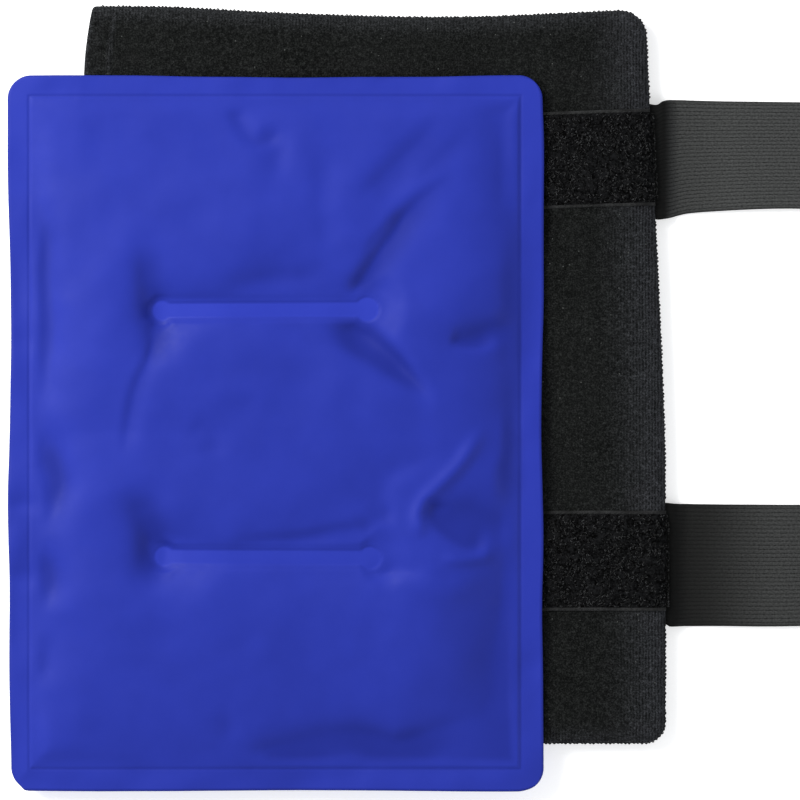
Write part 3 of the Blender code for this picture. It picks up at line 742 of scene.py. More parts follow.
def build_cover():
    theta_front = np.linspace(math.pi / 2, 0, 13)
    theta_back = np.linspace(0, math.pi / 2, 8)[1:]
    back_d = 8.0

    def rings(edge_d, reach_front, reach_back, half):
        out = []
        for t in theta_front:
            d = edge_d + reach_front * (1 - math.cos(t) ** RIM_P)
            ring = edge_ring(d)
            out.append((ring, MID + half * math.sin(t) ** RIM_P))
        for t in theta_back:
            d = edge_d + reach_back * (1 - math.cos(t) ** RIM_P)
            ring = edge_ring(d)
            out.append((ring, MID - half * math.sin(t) ** RIM_P))
        return out

    verts, faces, finish, rims = [], [], [], []
    count = 0

    def add(points, block, kind, rim):
        nonlocal count
        verts.append(points)
        faces.append(block + count)
        finish.append(np.full(len(block), kind))
        rims.append(rim)
        count += len(points)

    loops = {}
    for skin, edge_d, half, kind in (("outer", 0.0, MID, 0), ("inner", 3.9, MID - WALL, 1)):
        reach_front = RIM_D - edge_d * 0.35
        stack = rings(edge_d, reach_front, back_d, half)
        rows = []
        for ring, z in stack:
            heights = np.full(len(ring), z)
            rows.append(np.column_stack([ring, heights]))
        n_front = len(theta_front)
        front = coons(stack[0][0])
        back = coons(stack[-1][0])
        fx, fy = front[..., 0], front[..., 1]
        lift = front_wave(fx, fy)
        fz = stack[0][1] + lift
        if skin == "outer":
            fz = fz + hem_wave(fx, fy)
        bz = np.full(back.shape[:2], stack[-1][1])
        if skin == "outer":
            bz = bz + 0.12 + 0.10 * noise2(back[..., 0], back[..., 1], 30, 17)
        front3 = np.dstack([fx, fy, fz])
        back3 = np.dstack([back[..., 0], back[..., 1], bz])
        # the rings carry the panels' unevenness round the rim, fading to the seam
        for k, row in enumerate(rows):
            share = max(0.0, 1 - k / (n_front - 1)) if k < n_front else 0.0
            wave = front_wave(row[:, 0], row[:, 1])
            if skin == "outer":
                wave = wave + hem_wave(row[:, 0], row[:, 1])
            if k == 0:
                row[:, 2] += wave
            elif share > 0:
                row[:, 2] += wave * share**0.6
        if skin == "outer":
            rows[-1][:, 2] = rows[-1][:, 2] + 0.12 + 0.10 * noise2(rows[-1][:, 0], rows[-1][:, 1], 30, 17)
        # the patches' sides are exactly the rings
        def pinned(block, ring3):
            block[:, -1] = ring3[:N_U]
            block[-1, :] = ring3[N_U - 1 : N_U - 1 + N_V][::-1]
            block[:, 0] = ring3[N_U + N_V - 2 :][::-1]
            return block

        front3, back3 = pinned(front3, rows[0]), pinned(back3, rows[-1])
        # rim carries the wales and a painted sheen, on the front's edges, the back's edges and round the rings
        rim_patch = wale_and_sheen_share(front3[..., 0], front3[..., 1]) * 0.8
        add(front3.reshape(-1, 3), grid_faces(N_U, N_V), kind, rim_patch.ravel())
        rim_back = smoothstep(30, 6, edge_distance(back3[..., 0], back3[..., 1])) * 0.6
        add(back3.reshape(-1, 3), grid_faces(N_U, N_V), kind, rim_back.ravel())
        ring_points = np.vstack(rows)
        ring_rim = np.concatenate([wale_and_sheen_share(r[:, 0], r[:, 1]) * (0.8 + 0.2 * smoothstep(14, 4, edge_distance(r[:, 0], r[:, 1]))) for r in rows])
        add(ring_points, grid_faces(len(rows), RING), kind, ring_rim)
        loops[skin] = np.vstack(
            [
                front3[0],  # bottom to top
                [r[0] for r in rows[1:-1]],  # round the top rim
                back3[0][::-1],  # top to bottom
                [r[-1] for r in rows[1:-1]][::-1],  # round the bottom rim
            ]
        )
    # rounded lips that join the skins round the mouth
    a, b = loops["outer"], loops["inner"]
    middle, half = (a + b) / 2, (a - b) / 2
    lips = []
    for phi in np.linspace(0, math.pi, 8):
        lips.append(middle + half * math.cos(phi) + np.array([-1.9, 0, 0]) * math.sin(phi))
    lips = np.vstack(lips)
    add(lips, grid_faces(8, len(a), 0, True), 0, np.full(len(lips), 0.55))
    all_faces = np.vstack(faces)
    piece = mesh_piece(
        "cover_shell",
        np.vstack(verts),
        all_faces,
        [KNIT, LINING],
        "cover",
        (
            "cover_back_knit",
            "cover_back_foam",
            "cover_back_lining",
            "cover_front_lining",
            "cover_front_foam",
            "cover_front_knit",
            "seam_top_edge",
            "seam_bottom_edge",
            "seam_right_edge",
            "mouth_hem_front",
            "mouth_hem_back",
        ),
        face_material=np.concatenate(finish),
        values={"rim": np.concatenate(rims)},
        merge=0.004,
    )
    return piece


cover = build_cover()


# ---------------------------------------------------------------------------
# overlock thread round the closed edges
# ---------------------------------------------------------------------------
def build_overlock():
    ring = edge_ring(0.0)
    step = np.linalg.norm(np.diff(ring, axis=0), axis=1)
    gone = np.concatenate([[0], np.cumsum(step)])
    rng = np.random.default_rng(21)
    pitch = 2.1
    at = np.arange(3.0, gone[-1] - 3.0, pitch)
    at = at + rng.uniform(-0.4, 0.4, len(at))
    x, y = np.interp(at, gone, ring[:, 0]), np.interp(at, gone, ring[:, 1])
    ahead = np.stack([np.interp(at + 1, gone, ring[:, 0]) - x, np.interp(at + 1, gone, ring[:, 1]) - y], 1)
    ahead /= np.linalg.norm(ahead, axis=1, keepdims=True)
    out = np.stack([-ahead[:, 1], ahead[:, 0]], 1)
    paths = []
    uneven = rng.uniform(-0.22, 0.22, len(at))
    # each stitch wraps the seam from the front round to the back, leaning a little along the edge
    for phi in np.linspace(-1.25, 1.25, 6):
        reach = 0.36 * math.cos(phi) - 0.1 + uneven * math.cos(phi)
        height = 2.5 * math.sin(phi)
        lean = 0.75 * math.sin(phi)
        depth = 0.42 * abs(math.sin(phi)) ** 1.5
        px = x + out[:, 0] * (reach - depth) + ahead[:, 0] * lean
        py = y + out[:, 1] * (reach - depth) + ahead[:, 1] * lean
        paths.append(np.stack([px, py, np.full(len(x), MID + height)], 1))
    paths = np.stack(paths, 1)
    keep = np.ones(len(at), bool)
    for tape in TAPES.values():  # none where a strap comes out
        keep &= ~((np.abs(y - tape["y"]) < 31.5) & (x > 100))
    verts, faces, *_ = tubes(paths[keep], 0.34, 5)
    return mesh_piece(
        "edge_overlock",
        verts,
        faces,
        [THREAD],
        "cover",
        ("edge_overlock_thread",),
    )


build_overlock()


# ---------------------------------------------------------------------------
# rows of stitching
# ---------------------------------------------------------------------------
def stitch_paths(points, pitch=3.1, gap=0.75, rise=0.34, seed=31):
    """Little arcs of thread along a line of points (N, 3)."""
    points = np.asarray(points, float)
    gone = np.concatenate([[0], np.cumsum(np.linalg.norm(np.diff(points, axis=0), axis=1))])
    rng = np.random.default_rng(seed)
    starts = np.arange(0.4, gone[-1] - pitch, pitch)
    out = []
    for t in np.linspace(0, 1, 6):
        s = starts + t * (pitch - gap)
        p = np.stack([np.interp(s, gone, points[:, k]) for k in range(3)], 1)
        p[:, 2] += rise * math.sin(math.pi * t) - 0.22 * (1 - math.sin(math.pi * t))
        out.append(p)
    paths = np.stack(out, 1)
    paths[:, :, :2] += rng.uniform(-0.08, 0.08, (len(paths), 1, 2))
    return paths


def build_hem_stitches():
    y = np.arange(-187.0, 190.0, 1.0)
    x = mouth_x(y) + 9.7
    z = front_z(x, y) - 0.08
    verts, faces, *_ = tubes(stitch_paths(np.stack([x, y, z], 1)), 0.24, 6)
    return mesh_piece("mouth_hem_stitches", verts, faces, [THREAD], "cover", ("mouth_hem_stitching",))


build_hem_stitches()


# ---------------------------------------------------------------------------
# loop tapes
# ---------------------------------------------------------------------------
TAPE_HALF = 25.4
PILE_HALF = 23.3


def tape_slope(x, y, h=0.6):
    return (front_z(x - h, y) - front_z(x + h, y)) / (2 * h)


def build_tape(label):
    tape = TAPES[label]
    low, _ = cad(label + "_loop_tape")
    seed = 43 if label == "upper" else 44
    across = np.concatenate(
        [
            [-25.4, -25.3, -25.0, -24.6, -24.2, -23.7],
            np.linspace(-23.2, 23.2, 60),
            [23.7, 24.2, 24.6, 25.0, 25.3, 25.4],
        ]
    )
    x_end = right_x(tape["y"]) + 0.1
    inner = np.arange(low[0], x_end - 14.0, 1.3)
    t = np.linspace(0, 1, 24)[1:]
    xs = np.concatenate([inner, x_end - 14.0 * (1 - t) ** 1.6 - 0.2])

    def placed(across_, last_shift):
        X, A = np.meshgrid(xs, across_, indexing="ij")
        Y = tape_y(tape, X) + A * tape["wide"] + 0.35 * noise2(X, A * 0 + seed, 24, 41)
        edge = right_x(Y) + 0.1
        X = X + (edge - x_end) * smoothstep(-40, 0, X - x_end)
        # its cut end is uneven where the seam takes it
        X = X + last_shift * 0.5 * noise2(Y, Y * 0 + 3, 3.4, seed + 2) * smoothstep(-2.5, 0, X - edge)
        Z = front_z(np.minimum(X, edge - 0.12), Y)
        slope = np.clip(tape_slope(X, Y), -0.2, 6.0)
        norm = np.sqrt(1 + slope**2)
        return X, A, Y, Z, slope / norm, 1 / norm, edge - X

    X, A, Y, Z, nx, nz, d = placed(across, 1.0)
    selvedge = smoothstep(PILE_HALF - 0.1, PILE_HALF + 0.9, np.abs(A))
    back = 0.45 + 0.22 * np.exp(-(((np.abs(A) - 24.9) / 0.5) ** 2))
    pile = 1.15 + 0.30 * noise2(X, Y, 3.0, seed) + 0.22 * noise2(X, Y, 9.0, seed + 9)
    pile = pile * (0.5 + 0.5 * smoothstep(0.0, 2.4, PILE_HALF - np.abs(A)))
    thick = back * selvedge + np.maximum(pile, 0.3) * (1 - selvedge)
    thick = thick * np.where(np.abs(A) > 25.35, 0.15, 1.0)
    tail = smoothstep(0.0, 2.5, xs - xs[0])[:, None]
    lift = 0.08 + thick * np.clip(tail, 0.25, 1) * (0.55 + 0.45 * smoothstep(-0.2, 1.6, d))
    top = np.stack([X + nx * lift, Y, Z + nz * lift], -1)
    X2, A2, Y2, Z2, nx2, nz2, _ = placed(np.array([24.9, 12.0, 0.0, -12.0, -24.9]), 1.0)
    under = np.stack([X2 - nx2 * 0.25, Y2, Z2 - nz2 * 0.25], -1)
    loop = np.concatenate([top, under], 1)
    n, m, _ = loop.shape
    faces = grid_faces(n, m, 0, True)
    ends = [list(range(m)), list(range((n - 1) * m, n * m))[::-1]]
    k = len(across)
    middle = np.concatenate([(np.abs((across[:-1] + across[1:]) / 2) < PILE_HALF + 0.2), np.zeros(m - k + 1, bool)])
    finish = np.concatenate([np.tile(np.where(middle, 0, 1), n - 1), [1, 1]])
    base = mesh_piece(
        label + "_loop_tape_pile",
        loop.reshape(-1, 3),
        [*faces.tolist(), *ends],
        [PILE_BASE, TAPE_EDGE],
        "cover",
        (label + "_loop_tape",),
        face_material=finish,
    )
    # curly fibre loops that stand out of the pile
    rng = np.random.default_rng(seed + 20)
    count = 5200
    fx = low[0] + 1.0 + (x_end + 0.6 - low[0]) * rng.uniform(0, 1, count) ** 0.6
    fa = rng.uniform(-PILE_HALF + 0.2, PILE_HALF - 0.2, count)
    fy = tape_y(tape, fx) + fa * tape["wide"]
    edge_at = right_x(fy) + 0.2
    fx = np.minimum(fx + (edge_at - x_end) * smoothstep(-40, 0, fx - x_end), edge_at + 0.3)
    fz = front_z(np.minimum(fx, edge_at - 0.4), fy)
    slope = np.clip(tape_slope(fx, fy), -0.2, 3.0)
    norm = np.sqrt(1 + slope**2)
    up = np.stack([slope / norm, np.zeros(count), 1 / norm], 1)
    turn = rng.uniform(0, 2 * math.pi, count)
    e1 = np.stack([np.cos(turn) / norm, np.sin(turn), -slope * np.cos(turn) / norm], 1)
    e2 = np.cross(up, e1)
    radius = rng.uniform(0.30, 0.72, count)
    rise = rng.uniform(0.2, 0.6, count)
    stretch = rng.uniform(0.35, 1.0, count)
    sweep = rng.uniform(2.6, 5.4, count)
    base_h = rng.uniform(1.0, 1.5, count) * (0.55 + 0.45 * smoothstep(0.0, 2.4, PILE_HALF - np.abs(fa)))
    steps = 5
    path = []
    for k in range(steps):
        share = k / (steps - 1)
        a = share * sweep
        path.append(
            np.stack([fx, fy, fz], 1)
            + e1 * (radius * np.cos(a))[:, None]
            + e2 * (radius * np.sin(a) * stretch)[:, None]
            + up * (base_h + rise * math.sin(math.pi * share) - 0.3 * abs(2 * share - 1))[:, None]
        )
    vr, fr, _, st, sd = tubes(np.stack(path, 1), 0.155, 3)
    shade = np.repeat(rng.uniform(0, 1, count) ** 2.7, st * sd)
    mesh_piece(
        label + "_loop_tape_fibres",
        vr,
        fr,
        [PILE_LOOP],
        "cover",
        values={"shade": shade},
        outward=False,
    )
    # stitches along both selvedges
    paths = []
    for side in (-1, 1):
        sx = np.arange(low[0] + 1.0, x_end - 3.0, 1.0)
        sy = tape_y(tape, sx) + side * 24.35 * tape["wide"]
        sz = front_z(sx, sy) + 0.68
        paths.append(stitch_paths(np.stack([sx, sy, sz], 1), 2.9, 0.7, 0.22, seed + side))
    sy = np.arange(tape["y"] - 23.0, tape["y"] + 23.0, 1.0)
    sx = np.full_like(sy, low[0] + 1.4)
    paths.append(stitch_paths(np.stack([sx, sy, front_z(sx, sy) + 0.85], 1), 2.9, 0.7, 0.22, seed + 3))
    vs, fs = [], []
    start = 0
    for p in paths:
        v, f, *_ = tubes(p, 0.20, 5, start)
        vs.append(v)
        fs += f
        start += len(v)
    mesh_piece(
        label + "_loop_tape_stitches",
        np.vstack(vs),
        fs,
        [PALE_THREAD],
        "cover",
        (label + "_loop_tape_stitching",),
    )
    return base


def selvedge_material():
    m = Nodes("tape_selvedge", (0.010, 0.010, 0.0105), 0.8, 0.15)
    at = m.place()
    weave = m.math("MAXIMUM", m.wave(m.axis(at, "X"), 0.8), m.noise(at, 0.5, 2.0))
    fade = m.noise(at, 9.0, 2.0)
    base = m.mix(m.math("MULTIPLY", weave, m.remap(fade, 0.35, 0.65, 0.15, 1.0)), (0.0035, 0.0036, 0.0037), (0.0300, 0.0308, 0.0312))
    m.link(base, m.shader.inputs["Base Color"])
    m.link(m.bump(weave, 0.15, 0.7), m.shader.inputs["Normal"])
    return m.material


TAPE_EDGE = selvedge_material()
for label in TAPES:
    build_tape(label)


# ---------------------------------------------------------------------------
# elastic straps
# ---------------------------------------------------------------------------
STRAP_T = 1.5
RIB = 2.05
STRAPS = {
    # edges of each strap across its length: (x, y of the upper edge, y of the lower edge)
    "upper": np.array(
        [
            (140.0, 145.2, 84.6),
            (148.5, 143.4, 83.2),
            (152.0, 145.2, 83.3),
            (156.0, 146.1, 84.0),
            (162.0, 146.1, 85.7),
            (168.0, 145.9, 86.7),
            (182.0, 145.5, 87.7),
            (203.0, 145.2, 88.7),
            (224.0, 145.0, 88.9),
            (262.0, 144.9, 87.8),
            (330.0, 145.6, 85.6),
            (640.0, 146.0, 84.6),
        ]
    ),
    "lower": np.array(
        [
            (140.0, -65.9, -128.6),
            (153.0, -65.4, -129.2),
            (156.0, -65.6, -130.4),
            (162.0, -66.0, -130.4),
            (182.0, -66.3, -130.3),
            (203.0, -66.4, -130.5),
            (224.0, -66.5, -130.3),
            (300.0, -66.3, -129.0),
            (380.0, -65.9, -127.8),
            (640.0, -65.6, -127.6),
        ]
    ),
}


def strap_centre(label, x):
    """Height of the strap's middle surface along its run, before its ripple."""
    fold = joint_at(label + "_strap_fold")
    root = 6.3
    floor = 0.95
    t = np.clip((x - (fold[0] - 0.9)) / 10.5, 0, 1)
    ease = t * t * t * (t * (6 * t - 15) + 10)
    z = root + (floor - root) * ease
    # it lifts off the surface a little here and there
    seed = 51 if label == "upper" else 52
    far = smoothstep(fold[0] + 14, fold[0] + 60, x) * (1 - smoothstep(fold[0] + 370, fold[0] + 415, x))
    z = z + far * (0.9 + 0.9 * noise2(x, np.zeros_like(x), 62, seed))
    return z


def strap_block(label, x_from, x_to, rows):
    fold = joint_at(label + "_strap_fold")
    peel = joint_at(label + "_tab_peel")
    table = STRAPS[label]
    offset = 0.0
    smooth = catmull(table, 12)
    hi = np.interp(rows, smooth[:, 0] + offset, smooth[:, 1])
    lo = np.interp(rows, smooth[:, 0] + offset, smooth[:, 2])
    ribs = 30
    per = 3
    n = ribs * per + 1
    t = np.array([k + part for k in range(ribs) for part in (0.0, 0.20, 0.80)] + [ribs]) / ribs * 2 - 1
    rib = np.where(np.arange(n) % per == 0, 0.0, 1.0)
    centre = strap_centre(label, rows)
    # past the peel line the elastic steps up over the hook tab
    lap = smoothstep(peel[0] + 1.5, peel[0] + 6.0, rows)
    centre = centre + lap * (2.95 - 0.95)
    Y = (hi + lo)[:, None] / 2 + (hi - lo)[:, None] / 2 * t[None, :]
    X = np.repeat(rows[:, None], n, 1)
    seed = 61 if label == "upper" else 62
    free = smoothstep(fold[0] + 4, fold[0] + 30, rows) * (1 - smoothstep(peel[0] - 40, peel[0] - 8, rows))
    # a shallow roll across the width, and the upper strap's tilt as it leaves the seam
    roll = 0.35 * noise2(rows, np.zeros_like(rows), 48, seed)
    bow = roll[:, None] * (1 - t[None, :] ** 2) + 0.3 * noise2(rows, np.ones_like(rows), 40, seed + 3)[:, None] * t[None, :]
    Zc = centre[:, None] + free[:, None] * (bow + 0.25)
    if label == "upper":
        # its front edge lifts as it leaves the seam, so it is seen a little narrower
        twist = smoothstep(fold[0] + 6, fold[0] + 60, rows) * (1 - smoothstep(fold[0] + 120, fold[0] + 220, rows))
        Zc = Zc + (twist[:, None]) * 3.4 * np.clip(-t[None, :] * 0.55 + 0.1, 0, 1) ** 1.3
    ahead = np.gradient(centre, rows)
    norm = np.sqrt(1 + ahead**2)
    nx, nz = (-ahead / norm)[:, None], (1 / norm)[:, None]
    edge = np.sqrt(np.clip(1 - (np.abs(t) ** 26), 0, 1))[None, :]
    crimp = 0.05 * noise2(X, Y, 1.3, seed + 6)
    top_h = (STRAP_T / 2) * edge * (0.72 + 0.28 * rib[None, :]) + crimp
    low_h = (STRAP_T / 2) * edge * (0.72 + 0.28 * rib[None, :])
    top = np.stack([X + nx * top_h, Y, Zc + nz * top_h], -1)
    low = np.stack([X - nx * low_h, Y, Zc - nz * low_h], -1)
    low[..., 2] = np.where(X > fold[0] + 10, np.maximum(low[..., 2], 0.05), low[..., 2])
    # one closed loop of vertices round each section
    loop = np.concatenate([top, low[:, ::-1][:, 1:-1]], 1)
    rib_loop = np.concatenate([rib, rib[::-1][1:-1]])
    along = np.concatenate([[0], np.cumsum(np.hypot(np.diff(rows), np.diff(centre)))]) + x_from
    t_loop = np.concatenate([t, t[::-1][1:-1]])
    uv = np.stack(
        [
            np.repeat(along[:, None], loop.shape[1], 1),
            np.repeat((t_loop * 31.0)[None, :], len(rows), 0),
        ],
        -1,
    )
    return loop, rib_loop, uv


def strap_rows(start, end, fine):
    """Stations along a strap, close together over the fine stretches."""
    rows = [start]
    while rows[-1] < end - 0.3:
        here = rows[-1]
        step = 8.0
        for a, b, s in fine:
            if a <= here < b:
                step = s
        rows.append(min(here + step, end))
    return np.array(rows)


def strap_mesh(name, label, x_from, x_to, fine, replaces):
    rows = strap_rows(x_from, x_to, fine)
    loop, rib, uv = strap_block(label, x_from, x_to, rows)
    n, m, _ = loop.shape
    verts = loop.reshape(-1, 3)
    faces = grid_faces(n, m, 0, True).tolist()
    half = (m + 2) // 2
    top = list(range(half))
    low = [(m - k) % m for k in range(half)]
    for row, flip in ((0, False), (n - 1, True)):
        base = row * m
        for k in range(half - 1):
            face = [base + top[k], base + top[k + 1], base + low[k + 1], base + low[k]]
            face = list(dict.fromkeys(face))
            if len(face) >= 3:
                faces.append(face[::-1] if flip else face)
    fold = joint_at(label + "_strap_fold")
    # painted shade: near-black where the strap leaves the seam in the cover's shadow, and darker along its two long
    # edges
    dark = (1 - smoothstep(fold[0] + 0.9, fold[0] + 6.3, rows)) * 0.97
    side = np.linspace(-1, 1, half)
    side = np.abs(np.concatenate([side, side[::-1][1:-1]]))
    root = np.maximum(dark[:, None], 0.7 * smoothstep(0.955, 0.995, side)[None, :]).ravel()
    # the straps are painted darker for a stretch from the root: the lower strap far more and for longer, the upper a
    # little
    near, reach, far = (0.98, 60, 0.22) if label == "lower" else (0.2, 40, 0.0)
    gloss_and_dark_patch = (near - far) * (1 - smoothstep(fold[0] + 12, fold[0] + reach, rows))
    gloss_and_dark_patch = np.repeat(gloss_and_dark_patch + far * (1 - smoothstep(fold[0] + 60, fold[0] + 170, rows)), m)
    return mesh_piece(
        name,
        verts,
        faces,
        [ELASTIC],
        None,
        replaces,
        values={"rib": np.tile(rib, n), "root": root, "gloss_and_dark_patch": gloss_and_dark_patch},
        uv=uv.reshape(-1, 2),
    )


def build_strap(label):
    fold = joint_at(label + "_strap_fold")
    peel = joint_at(label + "_tab_peel")
    lap_end = cad(label + "_strap_end")[1][0]
    split = peel[0] - 26.0
    first = strap_mesh(
        label + "_strap_elastic",
        label,
        fold[0] - 7.6,
        split,
        [(fold[0] - 8, fold[0] + 14, 0.6), (fold[0] + 14, fold[0] + 40, 2.2), (fold[0] + 40, fold[0] + 90, 3.5)],
        (label + "_strap_root", label + "_strap"),
    )
    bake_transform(first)
    last = strap_mesh(
        label + "_strap_lap",
        label,
        split,
        lap_end,
        [(split, split + 16, 3.5), (split + 16, split + 40, 1.0), (split + 40, lap_end, 2.2)],
        (label + "_strap_end",),
    )
    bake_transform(last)
    return first, last


for label in TAPES:
    build_strap(label)


# ---------------------------------------------------------------------------
# hook tabs
# ---------------------------------------------------------------------------
def build_tab(label):
    low, high = cad(label + "_hook_tab")
    cy = (low[1] + high[1]) / 2
    half = (high[1] - low[1]) / 2
    x0, x1 = low[0], high[0]
    r = 14.0
    # outline rings: a flat top, a rounded edge, then the underside
    def outline(inset):
        a = np.linspace(-math.pi / 2, math.pi / 2, 25)
        cyy = np.where(a < 0, -(half - r), half - r)
        rr = max(r - inset, 0.5)
        nose = np.stack([x1 - r + rr * np.cos(a), cy + cyy + rr * np.sin(a)], 1)
        lower = np.stack([np.linspace(x0 + inset, x1 - r, 14)[:-1], np.full(13, cy - half + inset)], 1)
        upper = np.stack([np.linspace(x1 - r, x0 + inset, 14)[1:], np.full(13, cy + half - inset)], 1)
        back = np.stack([np.full(7, x0 + inset), np.linspace(cy + half - inset, cy - half + inset, 9)[1:-1]], 1)
        return np.vstack([lower, nose, upper, back])

    # the back of the tape lies above, the hooks stand below
    z_top, z_low = 1.75, 0.95
    profile = [(1.2, z_top), (0.45, z_top), (0.12, z_top - 0.1), (0.0, (z_top + z_low) / 2), (0.12, z_low + 0.1), (0.45, z_low), (1.2, z_low)]
    rows = []
    for inset, z in profile:
        ring = outline(inset)
        wave = 0.05 * noise2(ring[:, 0], ring[:, 1], 14, 71)
        rows.append(np.column_stack([ring, np.full(len(ring), z) + wave]))
    count = len(rows[0])
    verts = np.vstack(rows)
    faces = grid_faces(len(rows), count, 0, True).tolist()
    faces.append(list(range(count)))
    faces.append(list(range((len(rows) - 1) * count, len(rows) * count))[::-1])
    tab = mesh_piece(
        label + "_hook_tab_tape",
        verts,
        faces,
        [HOOK_BACK],
        label + "_tab",
        (label + "_hook_tab",),
        smooth=False,
    )
    tab.data.set_sharp_from_angle(angle=math.radians(50))
    tab.data.shade_smooth()
    # rows of hooks on the underside
    rng = np.random.default_rng(73 if label == "upper" else 74)
    hx, hy = np.meshgrid(np.arange(x0 + 16.0, x1 - 1.5, 2.1), np.arange(cy - half + 2.0, cy + half - 1.5, 1.8), indexing="ij")
    hx, hy = hx.ravel(), hy.ravel()
    inside = np.where(hx > x1 - r, np.hypot(hx - (x1 - r), np.maximum(np.abs(hy - cy) - (half - r), 0)) < r - 1.4, True)
    hx, hy = hx[inside], hy[inside]
    hx = hx + rng.uniform(-0.12, 0.12, len(hx))
    hy = hy + rng.uniform(-0.1, 0.1, len(hy))
    lean = rng.uniform(-0.15, 0.15, len(hx))
    # a hook rises from the tape, bends over and points back down
    flip = np.where((np.round((hx - x0 - 16.0) / 2.1).astype(int) % 2) == 0, 1.0, -1.0)
    shape = [(0.0, 0.05), (0.03, -0.45), (0.22, -0.82), (0.50, -0.76), (0.62, -0.48)]
    path = []
    for dx, dz in shape:
        path.append(np.stack([hx + flip * dx, hy + lean * abs(dz), np.full(len(hx), z_low) + dz], 1))
    v, f, *_ = tubes(np.stack(path, 1), 0.10, 3)
    mesh_piece(label + "_hook_tab_hooks", v, f, [HOOK_WIRE], label + "_tab", outward=False)

    # a box of stitches with a cross, through the elastic's lap and the tape
    lap_low, lap_high = cad(label + "_hook_tab_stitching")
    z = lap_low[2] - 0.02
    bx0, bx1 = lap_low[0] + 0.4, lap_high[0] - 0.4
    by0, by1 = lap_low[1] + 0.4, lap_high[1] - 0.4
    runs = [
        [(bx0, by0), (bx1, by0)],
        [(bx1, by0), (bx1, by1)],
        [(bx1, by1), (bx0, by1)],
        [(bx0, by1), (bx0, by0)],
        [(bx0, by0), (bx1, by1)],
        [(bx0, by1), (bx1, by0)],
    ]
    vs, fs, start = [], [], 0
    for k, (a, b) in enumerate(runs):
        n = max(3, int(math.hypot(b[0] - a[0], b[1] - a[1])))
        line = np.stack([np.linspace(a[0], b[0], n), np.linspace(a[1], b[1], n), np.full(n, z)], 1)
        v, f, *_ = tubes(stitch_paths(line, 2.6, 0.55, 0.2, 80 + k), 0.24, 5, start)
        vs.append(v)
        fs += f
        start += len(v)
    mesh_piece(
        label + "_hook_tab_stitches",
        np.vstack(vs),
        fs,
        [PALE_THREAD],
        label + "_tab",
        (label + "_hook_tab_stitching",),
    )


for label in TAPES:
    build_tab(label)


# ---------------------------------------------------------------------------
# gel pack
# ---------------------------------------------------------------------------
PACK_LOW, PACK_HIGH = cad("gel_pack_top_film")
PACK_C = np.array([(PACK_LOW[0] + PACK_HIGH[0]) / 2, (PACK_LOW[1] + PACK_HIGH[1]) / 2])
PACK_HX, PACK_HY = (PACK_HIGH[0] - PACK_LOW[0]) / 2, (PACK_HIGH[1] - PACK_LOW[1]) / 2
FLANGE = 10.8
SEAL_X, SEAL_Y = PACK_HX - FLANGE, PACK_HY - FLANGE
CORNER_R = 12.0
# dumbbell welds: (x of the left disc, y, radius), (x of the right disc, y, radius), half the bar's height; pack-local
WELDS = [
    ((-59.0, 63.8, 4.8), (48.2, 64.4, 5.8), 3.35),
    ((-57.8, -64.8, 4.8), (49.6, -65.3, 5.4), 3.25),
]
PACK_TOP = PACK_HIGH[2]
FLANGE_Z = 16.3
FILM_T = 0.55


def weld_distance(x, y):
    best = np.full(np.shape(x), 1e9)
    for (ax, ay, ar), (bx, by, br), half in WELDS:
        t = np.clip((x - ax) / (bx - ax), 0, 1)
        cy = ay + (by - ay) * t
        dx = np.maximum(np.maximum(ax - x, x - bx), 0)
        bar = np.hypot(dx, np.maximum(np.abs(y - cy) - half, 0))
        best = np.minimum(best, bar)
        best = np.minimum(best, np.maximum(np.hypot(x - ax, y - ay) - ar, 0))
        best = np.minimum(best, np.maximum(np.hypot(x - bx, y - by) - br, 0))
    return best


def crown(distance, reach):
    t = np.clip(np.asarray(distance, float) / reach, 0.0, 1.0)
    return np.sqrt(np.maximum(1 - (1 - t) ** 2, 0.0))


